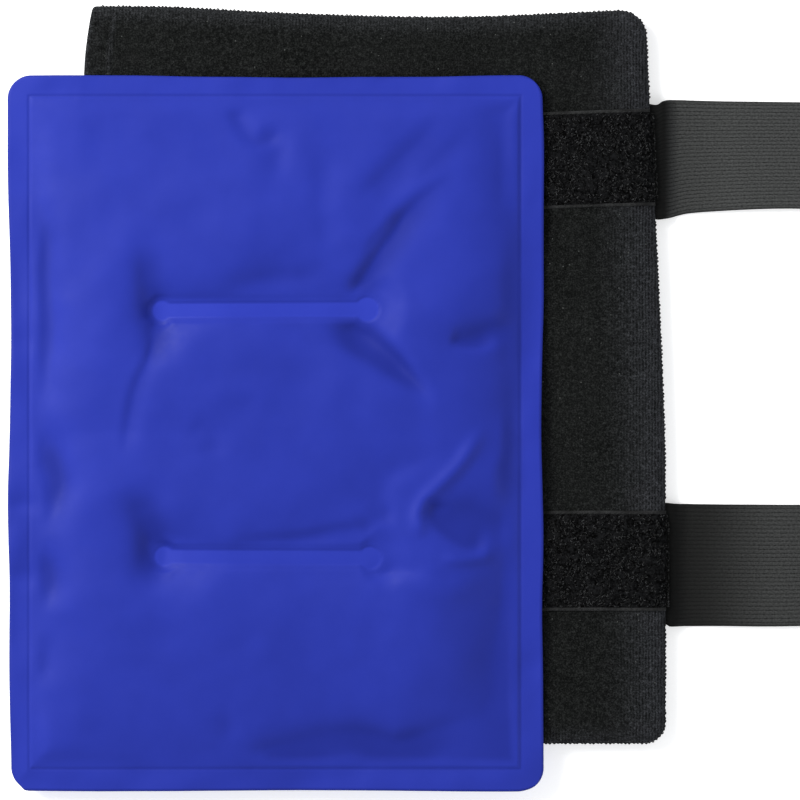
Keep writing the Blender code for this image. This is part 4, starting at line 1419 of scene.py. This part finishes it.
def inflate():
    """The upper film blown up between its welds by a cloth simulation. Returns the grid's lines and each point's shift."""
    inner_x = np.linspace(-SEAL_X, SEAL_X, 66)
    inner_y = np.linspace(-SEAL_Y, SEAL_Y, 90)
    gx, gy = np.meshgrid(inner_x, inner_y, indexing="ij")
    # a slightly swollen start, so that it rises one way
    start = 2.4 * crown(np.minimum(SEAL_X - np.abs(gx), SEAL_Y - np.abs(gy)), 60.0)
    start = start * crown(weld_distance(gx, gy), 40.0) + 0.5 * noise2(gx, gy, 30, 91)
    fixed = (weld_distance(gx, gy) < 2.2) | (np.abs(gx) > SEAL_X - 0.1) | (np.abs(gy) > SEAL_Y - 0.1)
    start = np.where(fixed, 0.0, start)
    verts = np.stack([gx, gy, start], -1).reshape(-1, 3)
    sheet = mesh_piece("film_simulation", verts, grid_faces(len(inner_x), len(inner_y)), [], outward=False)
    group = sheet.vertex_groups.new(name="pin")
    group.add([int(i) for i in np.nonzero(fixed.reshape(-1))[0]], 1.0, "REPLACE")
    cloth = sheet.modifiers.new("cloth", "CLOTH")
    settings = cloth.settings
    settings.quality = 6
    settings.mass = 0.001
    settings.air_damping = 1.0
    settings.tension_stiffness = settings.compression_stiffness = 15.0
    settings.shear_stiffness = 8.0
    settings.bending_stiffness = 8.0
    settings.tension_damping = settings.compression_damping = settings.shear_damping = 5.0
    settings.bending_damping = 0.5
    settings.vertex_group_mass = "pin"
    settings.pin_stiffness = 1.0
    settings.shrink_min = 0.0
    settings.use_pressure = True
    settings.uniform_pressure_force = 400.0
    settings.effector_weights.gravity = 0.0
    cloth.collision_settings.use_collision = False
    cloth.collision_settings.use_self_collision = False
    frames = 26
    cloth.point_cache.frame_start = 1
    cloth.point_cache.frame_end = frames
    for number in range(1, frames + 1):
        scene.frame_set(number)
    graph = bpy.context.evaluated_depsgraph_get()
    done = sheet.evaluated_get(graph).data
    moved = np.zeros(len(done.vertices) * 3)
    done.vertices.foreach_get("co", moved)
    moved = moved.reshape(len(inner_x), len(inner_y), 3) / MM
    mesh = sheet.data
    bpy.data.objects.remove(sheet, do_unlink=True)
    bpy.data.meshes.remove(mesh)
    scene.frame_set(1)
    dx = np.clip(moved[..., 0] - gx, -4.0, 4.0)
    dy = np.clip(moved[..., 1] - gy, -4.0, 4.0)
    h = moved[..., 2]
    return inner_x, inner_y, dx, dy, h


def cubic_sample(xs, ys, field, x, y):
    """The field between its grid lines, by cubic interpolation."""

    def weights(t):
        return (
            -0.5 * t**3 + t * t - 0.5 * t,
            1.5 * t**3 - 2.5 * t * t + 1,
            -1.5 * t**3 + 2 * t * t + 0.5 * t,
            0.5 * t**3 - 0.5 * t * t,
        )

    u = np.interp(x, xs, np.arange(len(xs)))
    v = np.interp(y, ys, np.arange(len(ys)))
    iu = np.clip(np.floor(u).astype(int), 0, len(xs) - 2)
    iv = np.clip(np.floor(v).astype(int), 0, len(ys) - 2)
    wu, wv = weights(u - iu), weights(v - iv)
    total = np.zeros(np.shape(x))
    for a in range(4):
        for b in range(4):
            ia = np.clip(iu + a - 1, 0, len(xs) - 1)
            ib = np.clip(iv + b - 1, 0, len(ys) - 1)
            total += wu[a] * wv[b] * field[ia, ib]
    return total


def segments(parts):
    """Grid lines: each part is (start, end, spacing)."""
    out = [parts[0][0]]
    for a, b, s in parts:
        n = max(1, round((b - a) / s))
        out += list(a + (b - a) * np.arange(1, n + 1) / n)
    return np.array(out)


def line_distance(x, y, points):
    """Distance to a run of points, how far along it (0 to 1), and which side (positive to the left of its direction)."""
    points = np.asarray(points, float)
    lengths = np.linalg.norm(np.diff(points, axis=0), axis=1)
    gone = np.concatenate([[0], np.cumsum(lengths)])
    best = np.full(np.shape(x), 1e9)
    share = np.zeros(np.shape(x))
    side = np.zeros(np.shape(x))
    for k in range(len(points) - 1):
        a, b = points[k], points[k + 1]
        d = b - a
        t = np.clip(((x - a[0]) * d[0] + (y - a[1]) * d[1]) / (d @ d), 0, 1)
        ex, ey = x - (a[0] + d[0] * t), y - (a[1] + d[1] * t)
        dist = np.hypot(ex, ey)
        closer = dist < best
        best = np.where(closer, dist, best)
        share = np.where(closer, (gone[k] + t * lengths[k]) / gone[-1], share)
        side = np.where(closer, np.sign(d[0] * ey - d[1] * ex), side)
    return best, share, side


def stroke(x, y, points, depth, width, skew=0.0, fade=(0.2, 0.3), taper=1.0):
    """A crease along a run of points: down by depth, width across. A skew of 0.5 makes the wall on the left of its direction three times as wide as the other."""
    dist, share, side = line_distance(x, y, catmull(points, 6))
    wide = width * (1 + (taper - 1) * share) * (1 + skew * side)
    ends = smoothstep(0, fade[0], share) * smoothstep(0, fade[1], 1 - share)
    return -depth * np.exp(-((dist / wide) ** 2)) * ends


def dent(x, y, cx, cy, rx, ry, depth, turn=0.0):
    c, s = math.cos(math.radians(turn)), math.sin(math.radians(turn))
    u = ((x - cx) * c + (y - cy) * s) / rx
    v = (-(x - cx) * s + (y - cy) * c) / ry
    return -depth * np.exp(-(u * u + v * v))


def creases(wx, wy):
    """Folds and hollows of the upper film, in the row frame's millimetres, and how much painted shade each point gets:
    darker in the folds and toward the right-hand side.
    """
    z = np.zeros(np.shape(wx))

    def fold(points, depth, width, skew=0.0, fade=(0.2, 0.3), taper=1.0):
        nonlocal z
        z = z + stroke(wx, wy, points, depth, width, skew, fade, taper)

    def hollow(cx, cy, rx, ry, depth, turn=0.0):
        nonlocal z
        z = z + dent(wx, wy, cx, cy, rx, ry, depth, turn)

    # the long diagonal fold that runs up to the right from the upper weld's right end, and others beside it
    fold([(-12, 41), (-9, 46), (-1, 58.5), (10.5, 74), (17.5, 85), (28, 95), (41.5, 103), (57, 111)], 2.9, 8.0, -0.5, (0.10, 0.6))
    fold([(-6, 62), (2, 72), (11, 82), (19, 90)], 1.0, 4.0, -0.3, (0.3, 0.3))
    fold([(-8, 88), (0, 98), (16.5, 115), (30, 128), (40, 138)], 1.9, 10.0, -0.4, (0.3, 0.3))
    fold([(20, 92), (30, 108), (46, 122), (58, 136)], 1.0, 8.0, -0.3, (0.4, 0.4))
    # the one that runs down to the right from the same end, to a sharp tip
    fold([(-26, 39), (-13, 30), (-4, 22), (6, 13.5), (17, 3), (35, -16)], 5.0, 12.5, -0.25, (0.42, 0.42), 0.26)
    hollow(-10, 21, 12, 7, 1.8, -34)
    hollow(-30, 20, 15, 7, 0.8, -14)
    # a lens-shaped hollow near the right side
    hollow(58, 23.5, 15, 6.8, 3.1, 12)
    fold([(40, 20.5), (48, 18), (58, 18), (66, 21.5)], 1.6, 3.6, 0.4, (0.15, 0.4))
    hollow(73, 20, 6, 13, 1.6)
    # a curved ridge with a hollow inside it, right of the lower weld
    fold([(60, -22), (54, -33), (46, -45), (37.5, -54), (28.5, -63), (24, -73), (28, -84)], -2.0, 3.8, -0.1, (0.3, 0.12))
    fold([(33, -61), (32, -71), (39, -79), (50, -86), (62, -88)], 2.6, 6.0, 0.25, (0.15, 0.2))
    hollow(49, -71, 15, 11, 3.4, -20)
    hollow(66, -76, 11, 10, 1.8, -20)
    fold([(34, -94), (48, -95), (64, -92)], -1.3, 3.6, 0.0, (0.3, 0.2))
    fold([(4, -101), (20, -107), (38, -112), (50, -108.5), (62, -100)], -1.1, 7.5, -0.1, (0.35, 0.3))
    fold([(68, -16), (69, -36), (64, -50), (66, -66)], -1.0, 5.0, 0.0, (0.3, 0.3))
    hollow(75, -50, 5, 15, 1.6)
    fold([(-4, -74), (2, -60), (10, -48), (24, -42), (38, -36)], 1.5, 9.0, 0.2, (0.2, 0.3))
    # hollows beside the welds' left ends, the upper one with a thin fold that runs on down
    fold([(-120, 78), (-119, 62), (-118, 48), (-114.5, 33), (-114, 18), (-119, 5)], 3.0, 9.0, 0.3, (0.35, 0.25))
    fold([(-114, 24), (-117, 10), (-124, -6), (-128.3, -28), (-129, -46)], 1.3, 4.6, 0.5, (0.2, 0.4))
    fold([(-127, -54), (-122, -68), (-116, -82), (-117, -96), (-128, -116)], 2.9, 11.0, 0.25, (0.25, 0.4))
    hollow(-117, -86, 10, 14, 1.5, 10)
    # folds down the left side
    fold([(-174, 96), (-171.5, 72), (-173, 52), (-171, 30), (-172.5, 4), (-169, -20)], 2.3, 6.0, 0.2, (0.25, 0.35))
    fold([(-176, -22), (-170, -40), (-165, -56), (-168, -84)], 3.5, 7.5, 0.2, (0.4, 0.45))
    fold([(-177, -84), (-170, -102), (-171, -124)], 2.8, 7.0, 0.2, (0.45, 0.45))
    fold([(-178, -134), (-173, -148), (-176, -164)], 1.6, 6.0, 0.2, (0.45, 0.45))
    # a crumple at the top and a row of hollows along the bottom
    fold([(-73, 144), (-70, 134), (-62, 124), (-54, 125), (-48, 133)], 1.5, 4.6, 0.2, (0.2, 0.25))
    hollow(-50, 116, 7, 13, 1.4, -14)
    hollow(-88, 126, 9, 14, 0.6, 10)
    fold([(-64, -200), (-46, -195), (-26, -188), (-6, -187), (10, -195), (26, -192), (46, -194)], 2.2, 10.0, -0.2, (0.12, 0.2))
    hollow(-36, -199, 20, 8, 2.0)
    hollow(8, -193, 24, 12, 2.0)
    hollow(42, -186, 14, 11, 1.6)
    hollow(-76, -183, 6, 8, 1.4)
    # soft puckers above the welds
    fold([(-76, -86), (-40, -84), (-14, -79), (2, -80)], 1.3, 4.6, -0.3, (0.3, 0.2))
    fold([(-8, -82), (2, -74), (14, -70)], 1.4, 6.0, 0.0, (0.3, 0.3))
    fold([(-84, 47), (-52, 52), (-34, 53), (-18, 54)], 1.3, 6.0, 0.0, (0.3, 0.3))
    hollow(-50, 58, 16, 9, 0.9)
    fold([(-27, 124), (-26, 104), (-26, 84), (-19, 66)], 1.1, 7.0, 0.2, (0.3, 0.3))
    fold([(-96, -22), (-84, -30), (-82, -44)], 0.9, 6.0, 0.0, (0.3, 0.3))
    fold([(-90, -12), (-62, -6), (-52, -22)], -0.7, 7.0, 0.0, (0.3, 0.3))
    hollow(-20, -8, 11, 17, -0.9)
    fold([(-6, -102), (14, -101), (30, -103)], 1.2, 4.6, 0.2, (0.2, 0.4))
    # painted shade: darker colour in the folds and hollows
    painted_shade = smoothstep(0.45, 3.7, -z)
    # painted shade: the film's colour is darker toward the right-hand side and the lower right, where it slopes away
    # from the light
    thick = 0.36 * smoothstep(36, 70, wx) + 0.60 * smoothstep(26, 66, wx) * smoothstep(-84, -150, wy)
    painted_shade = 1 - (1 - painted_shade) * (1 - np.clip(thick + 0.10 * noise2(wx, wy, 22, 90) * smoothstep(20, 60, wx), 0, 0.9))
    # the lower right falls away
    z = z - 5.6 * smoothstep(10, 76, wx) * smoothstep(-76, -140, wy)
    z = z - 2.4 * smoothstep(44, 80, wx) * smoothstep(40, 100, wy)
    # shallow waves, as a slack film has
    z = z + 0.85 * noise2(wx, wy, 36, 93) + 0.58 * noise2(wx, wy, 17, 94) + 0.19 * noise2(wx, wy, 8, 92)
    return z, painted_shade


TAPE_PADS = [(TAPES["upper"]["y"], 26.0), (TAPES["lower"]["y"], 26.0)]


def flange_z(wx, wy):
    """Where the pack's welded flange lies. It droops past the cover's left and bottom edges."""
    z = np.full(np.shape(wx), FLANGE_Z)
    z = z - 3.2 * smoothstep(-150, -196, wx) ** 1.1
    z = z - 3.7 * smoothstep(-172, -221, wy) ** 1.1
    z = z - 0.9 * smoothstep(70, 89, wx) - 0.9 * smoothstep(140, 159, wy)
    x, y = wx - PACK_C[0], wy - PACK_C[1]
    out = np.maximum(np.abs(x) - SEAL_X + 6, np.abs(y) - SEAL_Y + 6)
    edge = smoothstep(0, 14, out)
    ripple = 1.25 * noise2(wx, wy, 24, 95) + 0.60 * noise2(wx, wy, 11, 96)
    z = z + edge * ripple
    # puckers that cross the flange
    for cx, cy, rx, ry, depth in (
        (-184, -66, 9, 4.5, 0.9),
        (-184, -104, 9, 6.0, 1.0),
        (-183, 20, 8, 6.0, 0.5),
        (84, -150, 8, 6.0, 0.9),
        (84, -52, 8, 9.0, 0.6),
        (-60, 153, 7, 7, 0.6),
        (84, 10, 6, 9, 0.4),
    ):
        z = z + dent(wx, wy, cx, cy, rx, ry, depth)
    return z


def build_pack():
    xs = segments(
        [
            (-PACK_HX, -SEAL_X - 2.0, 1.5),
            (-SEAL_X - 2.0, -SEAL_X + 2.6, 0.55),
            (-SEAL_X + 2.6, -SEAL_X + 14.0, 1.6),
            (-SEAL_X + 14.0, -67.0, 1.75),
            (-67.0, -50.0, 0.95),
            (-50.0, 41.0, 1.9),
            (41.0, 57.5, 0.95),
            (57.5, SEAL_X - 14.0, 1.7),
            (SEAL_X - 14.0, SEAL_X - 2.6, 1.6),
            (SEAL_X - 2.6, SEAL_X + 2.0, 0.55),
            (SEAL_X + 2.0, PACK_HX, 1.5),
        ]
    )
    ys = segments(
        [
            (-PACK_HY, -SEAL_Y - 2.0, 1.5),
            (-SEAL_Y - 2.0, -SEAL_Y + 2.6, 0.55),
            (-SEAL_Y + 2.6, -SEAL_Y + 14.0, 1.7),
            (-SEAL_Y + 14.0, -74.0, 1.85),
            (-74.0, -56.0, 0.75),
            (-56.0, 55.0, 1.85),
            (55.0, 73.0, 0.75),
            (73.0, SEAL_Y - 14.0, 1.85),
            (SEAL_Y - 14.0, SEAL_Y - 2.6, 1.7),
            (SEAL_Y - 2.6, SEAL_Y + 2.0, 0.55),
            (SEAL_Y + 2.0, PACK_HY, 1.5),
        ]
    )
    X, Y = np.meshgrid(xs, ys, indexing="ij")
    sx, sy, dx, dy, h = inflate()
    h = h / max(np.percentile(h, 99.5), 1e-6)
    inside_x, inside_y = np.clip(X, -SEAL_X, SEAL_X), np.clip(Y, -SEAL_Y, SEAL_Y)
    rise = np.clip(cubic_sample(sx, sy, h, inside_x, inside_y), 0.0, 1.2)
    # the gel settles, so the top is flatter than a balloon's, and it has run to the right-hand side
    keen = 1.05 + 0.6 * smoothstep(20, 120, X)
    rise = np.tanh(keen * rise) / np.tanh(keen)
    # a slack film climbs slowly from its seals: over this many millimetres on each side
    right_run = 30 + 14 * smoothstep(-40, -120, Y)
    low_run = 66 + 56 * smoothstep(-10, -100, X)
    left_run = 98 + 50 * smoothstep(-50, -120, Y)
    rise = rise * (1 - 0.36 * smoothstep(-10, -100, X) * smoothstep(-70, -140, Y))
    near = np.zeros(np.shape(X))
    for gone, run in ((X + SEAL_X, left_run), (SEAL_X - X, right_run), (SEAL_Y - Y, 84.0), (Y + SEAL_Y, low_run)):
        near = near + (run / np.maximum(gone, 1e-3)) ** 1.9
    cap = 1.08 * near ** (-1 / 1.9)
    rise = rise * cap / np.maximum(rise**3 + cap**3, 1e-9) ** (1 / 3)
    shift_x = cubic_sample(sx, sy, dx, inside_x, inside_y)
    shift_y = cubic_sample(sx, sy, dy, inside_x, inside_y)
    to_seal = np.minimum(SEAL_X - np.abs(X), SEAL_Y - np.abs(Y))
    to_weld = weld_distance(X, Y)
    inside = to_seal > 0
    calm = smoothstep(0, 8, to_seal) * smoothstep(0, 7, to_weld)
    shift_x, shift_y = shift_x * calm, shift_y * calm

    # rounded corners, for the flange only
    def rounded(x, y, radius):
        ax, ay = np.abs(x) - (PACK_HX - radius), np.abs(y) - (PACK_HY - radius)
        a, b = np.clip(ax / radius, 0, 1), np.clip(ay / radius, 0, 1)
        both = (a > 0) & (b > 0)
        na, nb = a * np.sqrt(1 - b * b / 2), b * np.sqrt(1 - a * a / 2)
        x2 = np.where(both, np.sign(x) * (PACK_HX - radius + na * radius), x)
        y2 = np.where(both, np.sign(y) * (PACK_HY - radius + nb * radius), y)
        return x2, y2

    PX, PY = rounded(X, Y, CORNER_R)
    rim = smoothstep(-1, -10, to_seal)
    # the outline wanders a little
    PX = PX + rim * (0.55 * noise2(Y, X * 0 + np.sign(X) * 40, 58, 97) - 0.25)
    PY = PY + rim * (0.45 * noise2(X, Y * 0 + np.sign(Y) * 40, 58, 98) - 0.2)
    # where it is pulled in or let out along its sides

    def wander(at, stops, amounts):
        return np.mean([np.interp(at + step, stops, amounts) for step in (-12, -8, -4, 0, 4, 8, 12)], axis=0)

    here_x, here_y = X + PACK_C[0], Y + PACK_C[1]
    left_in = wander(here_y, (-205, -148, -106, -64, -22, 20, 62, 104), (2.5, 1.6, 1.7, -0.1, 1.0, 2.3, 1.6, 0.0))
    right_out = wander(here_y, (-205, -148, -120, -85, -30, 10, 41, 124, 146), (1.5, 1.1, 0.0, 0.6, -0.6, 0.0, 1.1, 1.1, 0.0))
    top_down = wander(here_x, (-120, -90, -38, -12, 40, 62), (0.0, 1.0, 2.1, 1.6, 1.0, 0.1))
    PX = PX + left_in * smoothstep(-SEAL_X - 1, -SEAL_X - 10, X) + right_out * smoothstep(SEAL_X + 1, SEAL_X + 10, X)
    PY = PY - top_down * smoothstep(SEAL_Y + 1, SEAL_Y + 10, Y)
    WX, WY = PX + shift_x + PACK_C[0], PY + shift_y + PACK_C[1]

    # what it lies on: the cover's cloth, the raised hem and the two loop tapes
    support = 13.45 + 0.45 * smoothstep(-134, -139, WX)
    for cy, half in TAPE_PADS:
        support = np.maximum(support, 13.45 + 2.15 * smoothstep(half + 9, half + 1, np.abs(WY - cy)))
    over_cover = smoothstep(-158, -155, WX) * smoothstep(-198, -195, WY)
    base = flange_z(WX, WY)
    # only the flange is held up by it, and with wide ramps, so that the tapes' edges don't print through
    least = 14.1 + 0.45 * smoothstep(-96, -139, WX)
    for cy, half in TAPE_PADS:
        least = np.maximum(least, 14.1 + 2.15 * smoothstep(half + 34, half + 1, np.abs(WY - cy)))
    held = np.logaddexp(base / 0.25, least * over_cover / 0.25) * 0.25
    base = base + (held - base) * smoothstep(7, -1, to_seal)
    crest = PACK_TOP - 1.9 - (FLANGE_Z + FILM_T)
    # the gel lifts the welds off the cover, so that they lie part way up
    off_weld = np.abs(np.abs(Y) - 64.4)
    level = 7.0 * smoothstep(0, 62, to_seal) * smoothstep(95, 10, off_weld)
    # their left ends are pulled down
    level = level * (1 - 0.50 * smoothstep(-22, -60, X) * smoothstep(-104, -64, X) * smoothstep(34, 4, off_weld))
    hold = smoothstep(1.5, 12, to_seal) * (0.4 + 0.6 * np.maximum(smoothstep(0, 8, to_weld), smoothstep(-46, -60, X)))
    fold, painted_shade = creases(WX, WY)
    fold = fold * hold
    painted_shade = painted_shade * smoothstep(0.5, 8, to_seal) * smoothstep(0.2, 1.4, to_weld) * (1 - 0.45 * np.exp(-((to_weld / 4.0) ** 2)))
    # painted shade along the seal's pressed groove
    painted_shade = np.maximum(painted_shade, 0.34 * np.exp(-((to_seal / 0.75) ** 2)) * np.where(np.minimum(PACK_HX - np.abs(X), PACK_HY - np.abs(Y)) > FLANGE - 1.5, 1.0, 0.0))
    run = 4.0 + 13.0 * smoothstep(44, 62, X)
    swell = (crest - level) * rise * smoothstep(0, run, to_weld) + 0.35 * (1 - np.exp(-to_weld / 1.6))
    lift = level + swell + fold
    k = 0.45
    lift = np.logaddexp(0.0, lift / k) * k - math.log(2) * k * smoothstep(16, 0, to_seal)
    top = base + FILM_T + np.where(inside, np.maximum(lift, 0.0) * smoothstep(0.0, 2.2, to_seal), 0.0)
    # the seal: a pressed groove with a soft lip inside it
    groove = -0.32 * np.exp(-((to_seal / 0.6) ** 2))
    in_x = smoothstep(SEAL_X + 1.2, SEAL_X - 0.4, np.abs(X))
    in_y = smoothstep(SEAL_Y + 1.2, SEAL_Y - 0.4, np.abs(Y))
    top = top + groove * np.maximum(in_x, 0) * np.maximum(in_y, 0) * np.where(to_seal > -3, 1, 0)
    # weld: pressed flat with a crisp edge
    press = smoothstep(0.9, 0.1, to_weld)
    weld_edge = -0.28 * np.exp(-(((to_weld - 0.55) / 0.45) ** 2))
    top = top + np.where(inside, weld_edge, 0) - 0.25 * press

    # underside: flat where the cover bears it, level with the flange at the edge
    sag = 2.4 * smoothstep(0, 13, to_seal)
    cavity = smoothstep(13, 0.5, to_weld) * np.where(inside, 1.0, 0.0)
    under = base - 0.55 - sag - np.where(inside, 0.35 * noise2(WX, WY, 17, 99) * smoothstep(0, 20, to_seal), 0)
    under = np.maximum(under, support * over_cover + (0.6) * (1 - over_cover))
    under = under + (top - 1.0 - under) * cavity
    under = np.minimum(under, top - 0.5)
    n, m = X.shape
    upper = np.stack([WX, WY, top], -1)
    # the lower film follows the same lines, without the simulated sideways shift
    lower = np.stack([PX + PACK_C[0], PY + PACK_C[1], under], -1)
    weld_value = smoothstep(0.8, -0.2, to_weld) * np.where(inside, 1.0, 0.0) * (1 - 0.4 * smoothstep(10, -30, Y))
    flange_value = (0.06 + 0.12 * smoothstep(40, 100, X) + 0.12 * smoothstep(90, 150, Y)) * smoothstep(0.6, -1.6, to_seal)
    lighter = np.maximum(weld_value, flange_value)
    # round the two films' cut edge with one row between them
    border = np.concatenate(
        [
            np.arange(m),
            np.arange(1, n) * m + (m - 1),
            (n - 1) * m + np.arange(m - 2, -1, -1),
            np.arange(n - 2, 0, -1) * m,
        ]
    )
    up_flat, low_flat = upper.reshape(-1, 3), lower.reshape(-1, 3)
    centre = np.array([PACK_C[0], PACK_C[1], 0.0])
    outward = up_flat[border] - centre
    outward[:, 2] = 0
    edge_mid = (up_flat[border] + low_flat[border]) / 2
    normal = np.roll(edge_mid, -1, 0) - np.roll(edge_mid, 1, 0)
    normal = np.stack([normal[:, 1], -normal[:, 0], np.zeros(len(normal))], 1)
    normal /= np.linalg.norm(normal, axis=1, keepdims=True) + 1e-9
    if np.mean(np.sum(normal * outward, 1)) < 0:
        normal = -normal
    edge_mid = edge_mid + normal * 0.25
    verts = np.vstack([up_flat, edge_mid, low_flat])
    rim_start = n * m
    low_start = n * m + len(border)
    nb = len(border)
    k_ = np.arange(nb)
    k2 = (k_ + 1) % nb
    wall_a = np.stack([border[k_], border[k2], rim_start + k2, rim_start + k_], 1)
    wall_b = np.stack([rim_start + k_, rim_start + k2, low_start + border[k2], low_start + border[k_]], 1)
    faces = np.vstack([grid_faces(n, m), wall_a, wall_b, grid_faces(n, m, low_start)[:, ::-1]])
    values = np.concatenate([lighter.ravel(), np.full(nb, 0.12), lighter.ravel() * 0.6])
    # painted shade: the films' cut edge and the rounded rim between them are painted darker
    painted_shade[0, :] = painted_shade[-1, :] = 0.9
    painted_shade[:, 0] = painted_shade[:, -1] = 0.9
    hollows = np.concatenate([painted_shade.ravel(), np.full(nb, 2.2), np.zeros(n * m)])
    pack = mesh_piece(
        "gel_pack_skin",
        verts,
        faces,
        [FILM],
        "gel_pack",
        ("gel_pack_top_film", "gel_pack_bottom_film", "gel_fill"),
        values={"weld": values, "painted_shade": hollows},
    )
    return pack


build_pack()


# ---------------------------------------------------------------------------
# floor
# ---------------------------------------------------------------------------
def build_floor():
    side = 16.0
    mesh = bpy.data.meshes.new("floor")
    work = bmesh.new()
    bmesh.ops.create_grid(work, x_segments=8, y_segments=8, size=side)
    work.to_mesh(mesh)
    work.free()
    mesh.materials.append(FLOOR)
    floor = bpy.data.objects.new("floor", mesh)
    floor.location = (0, 0, -0.0003)
    scene.collection.objects.link(floor)


build_floor()
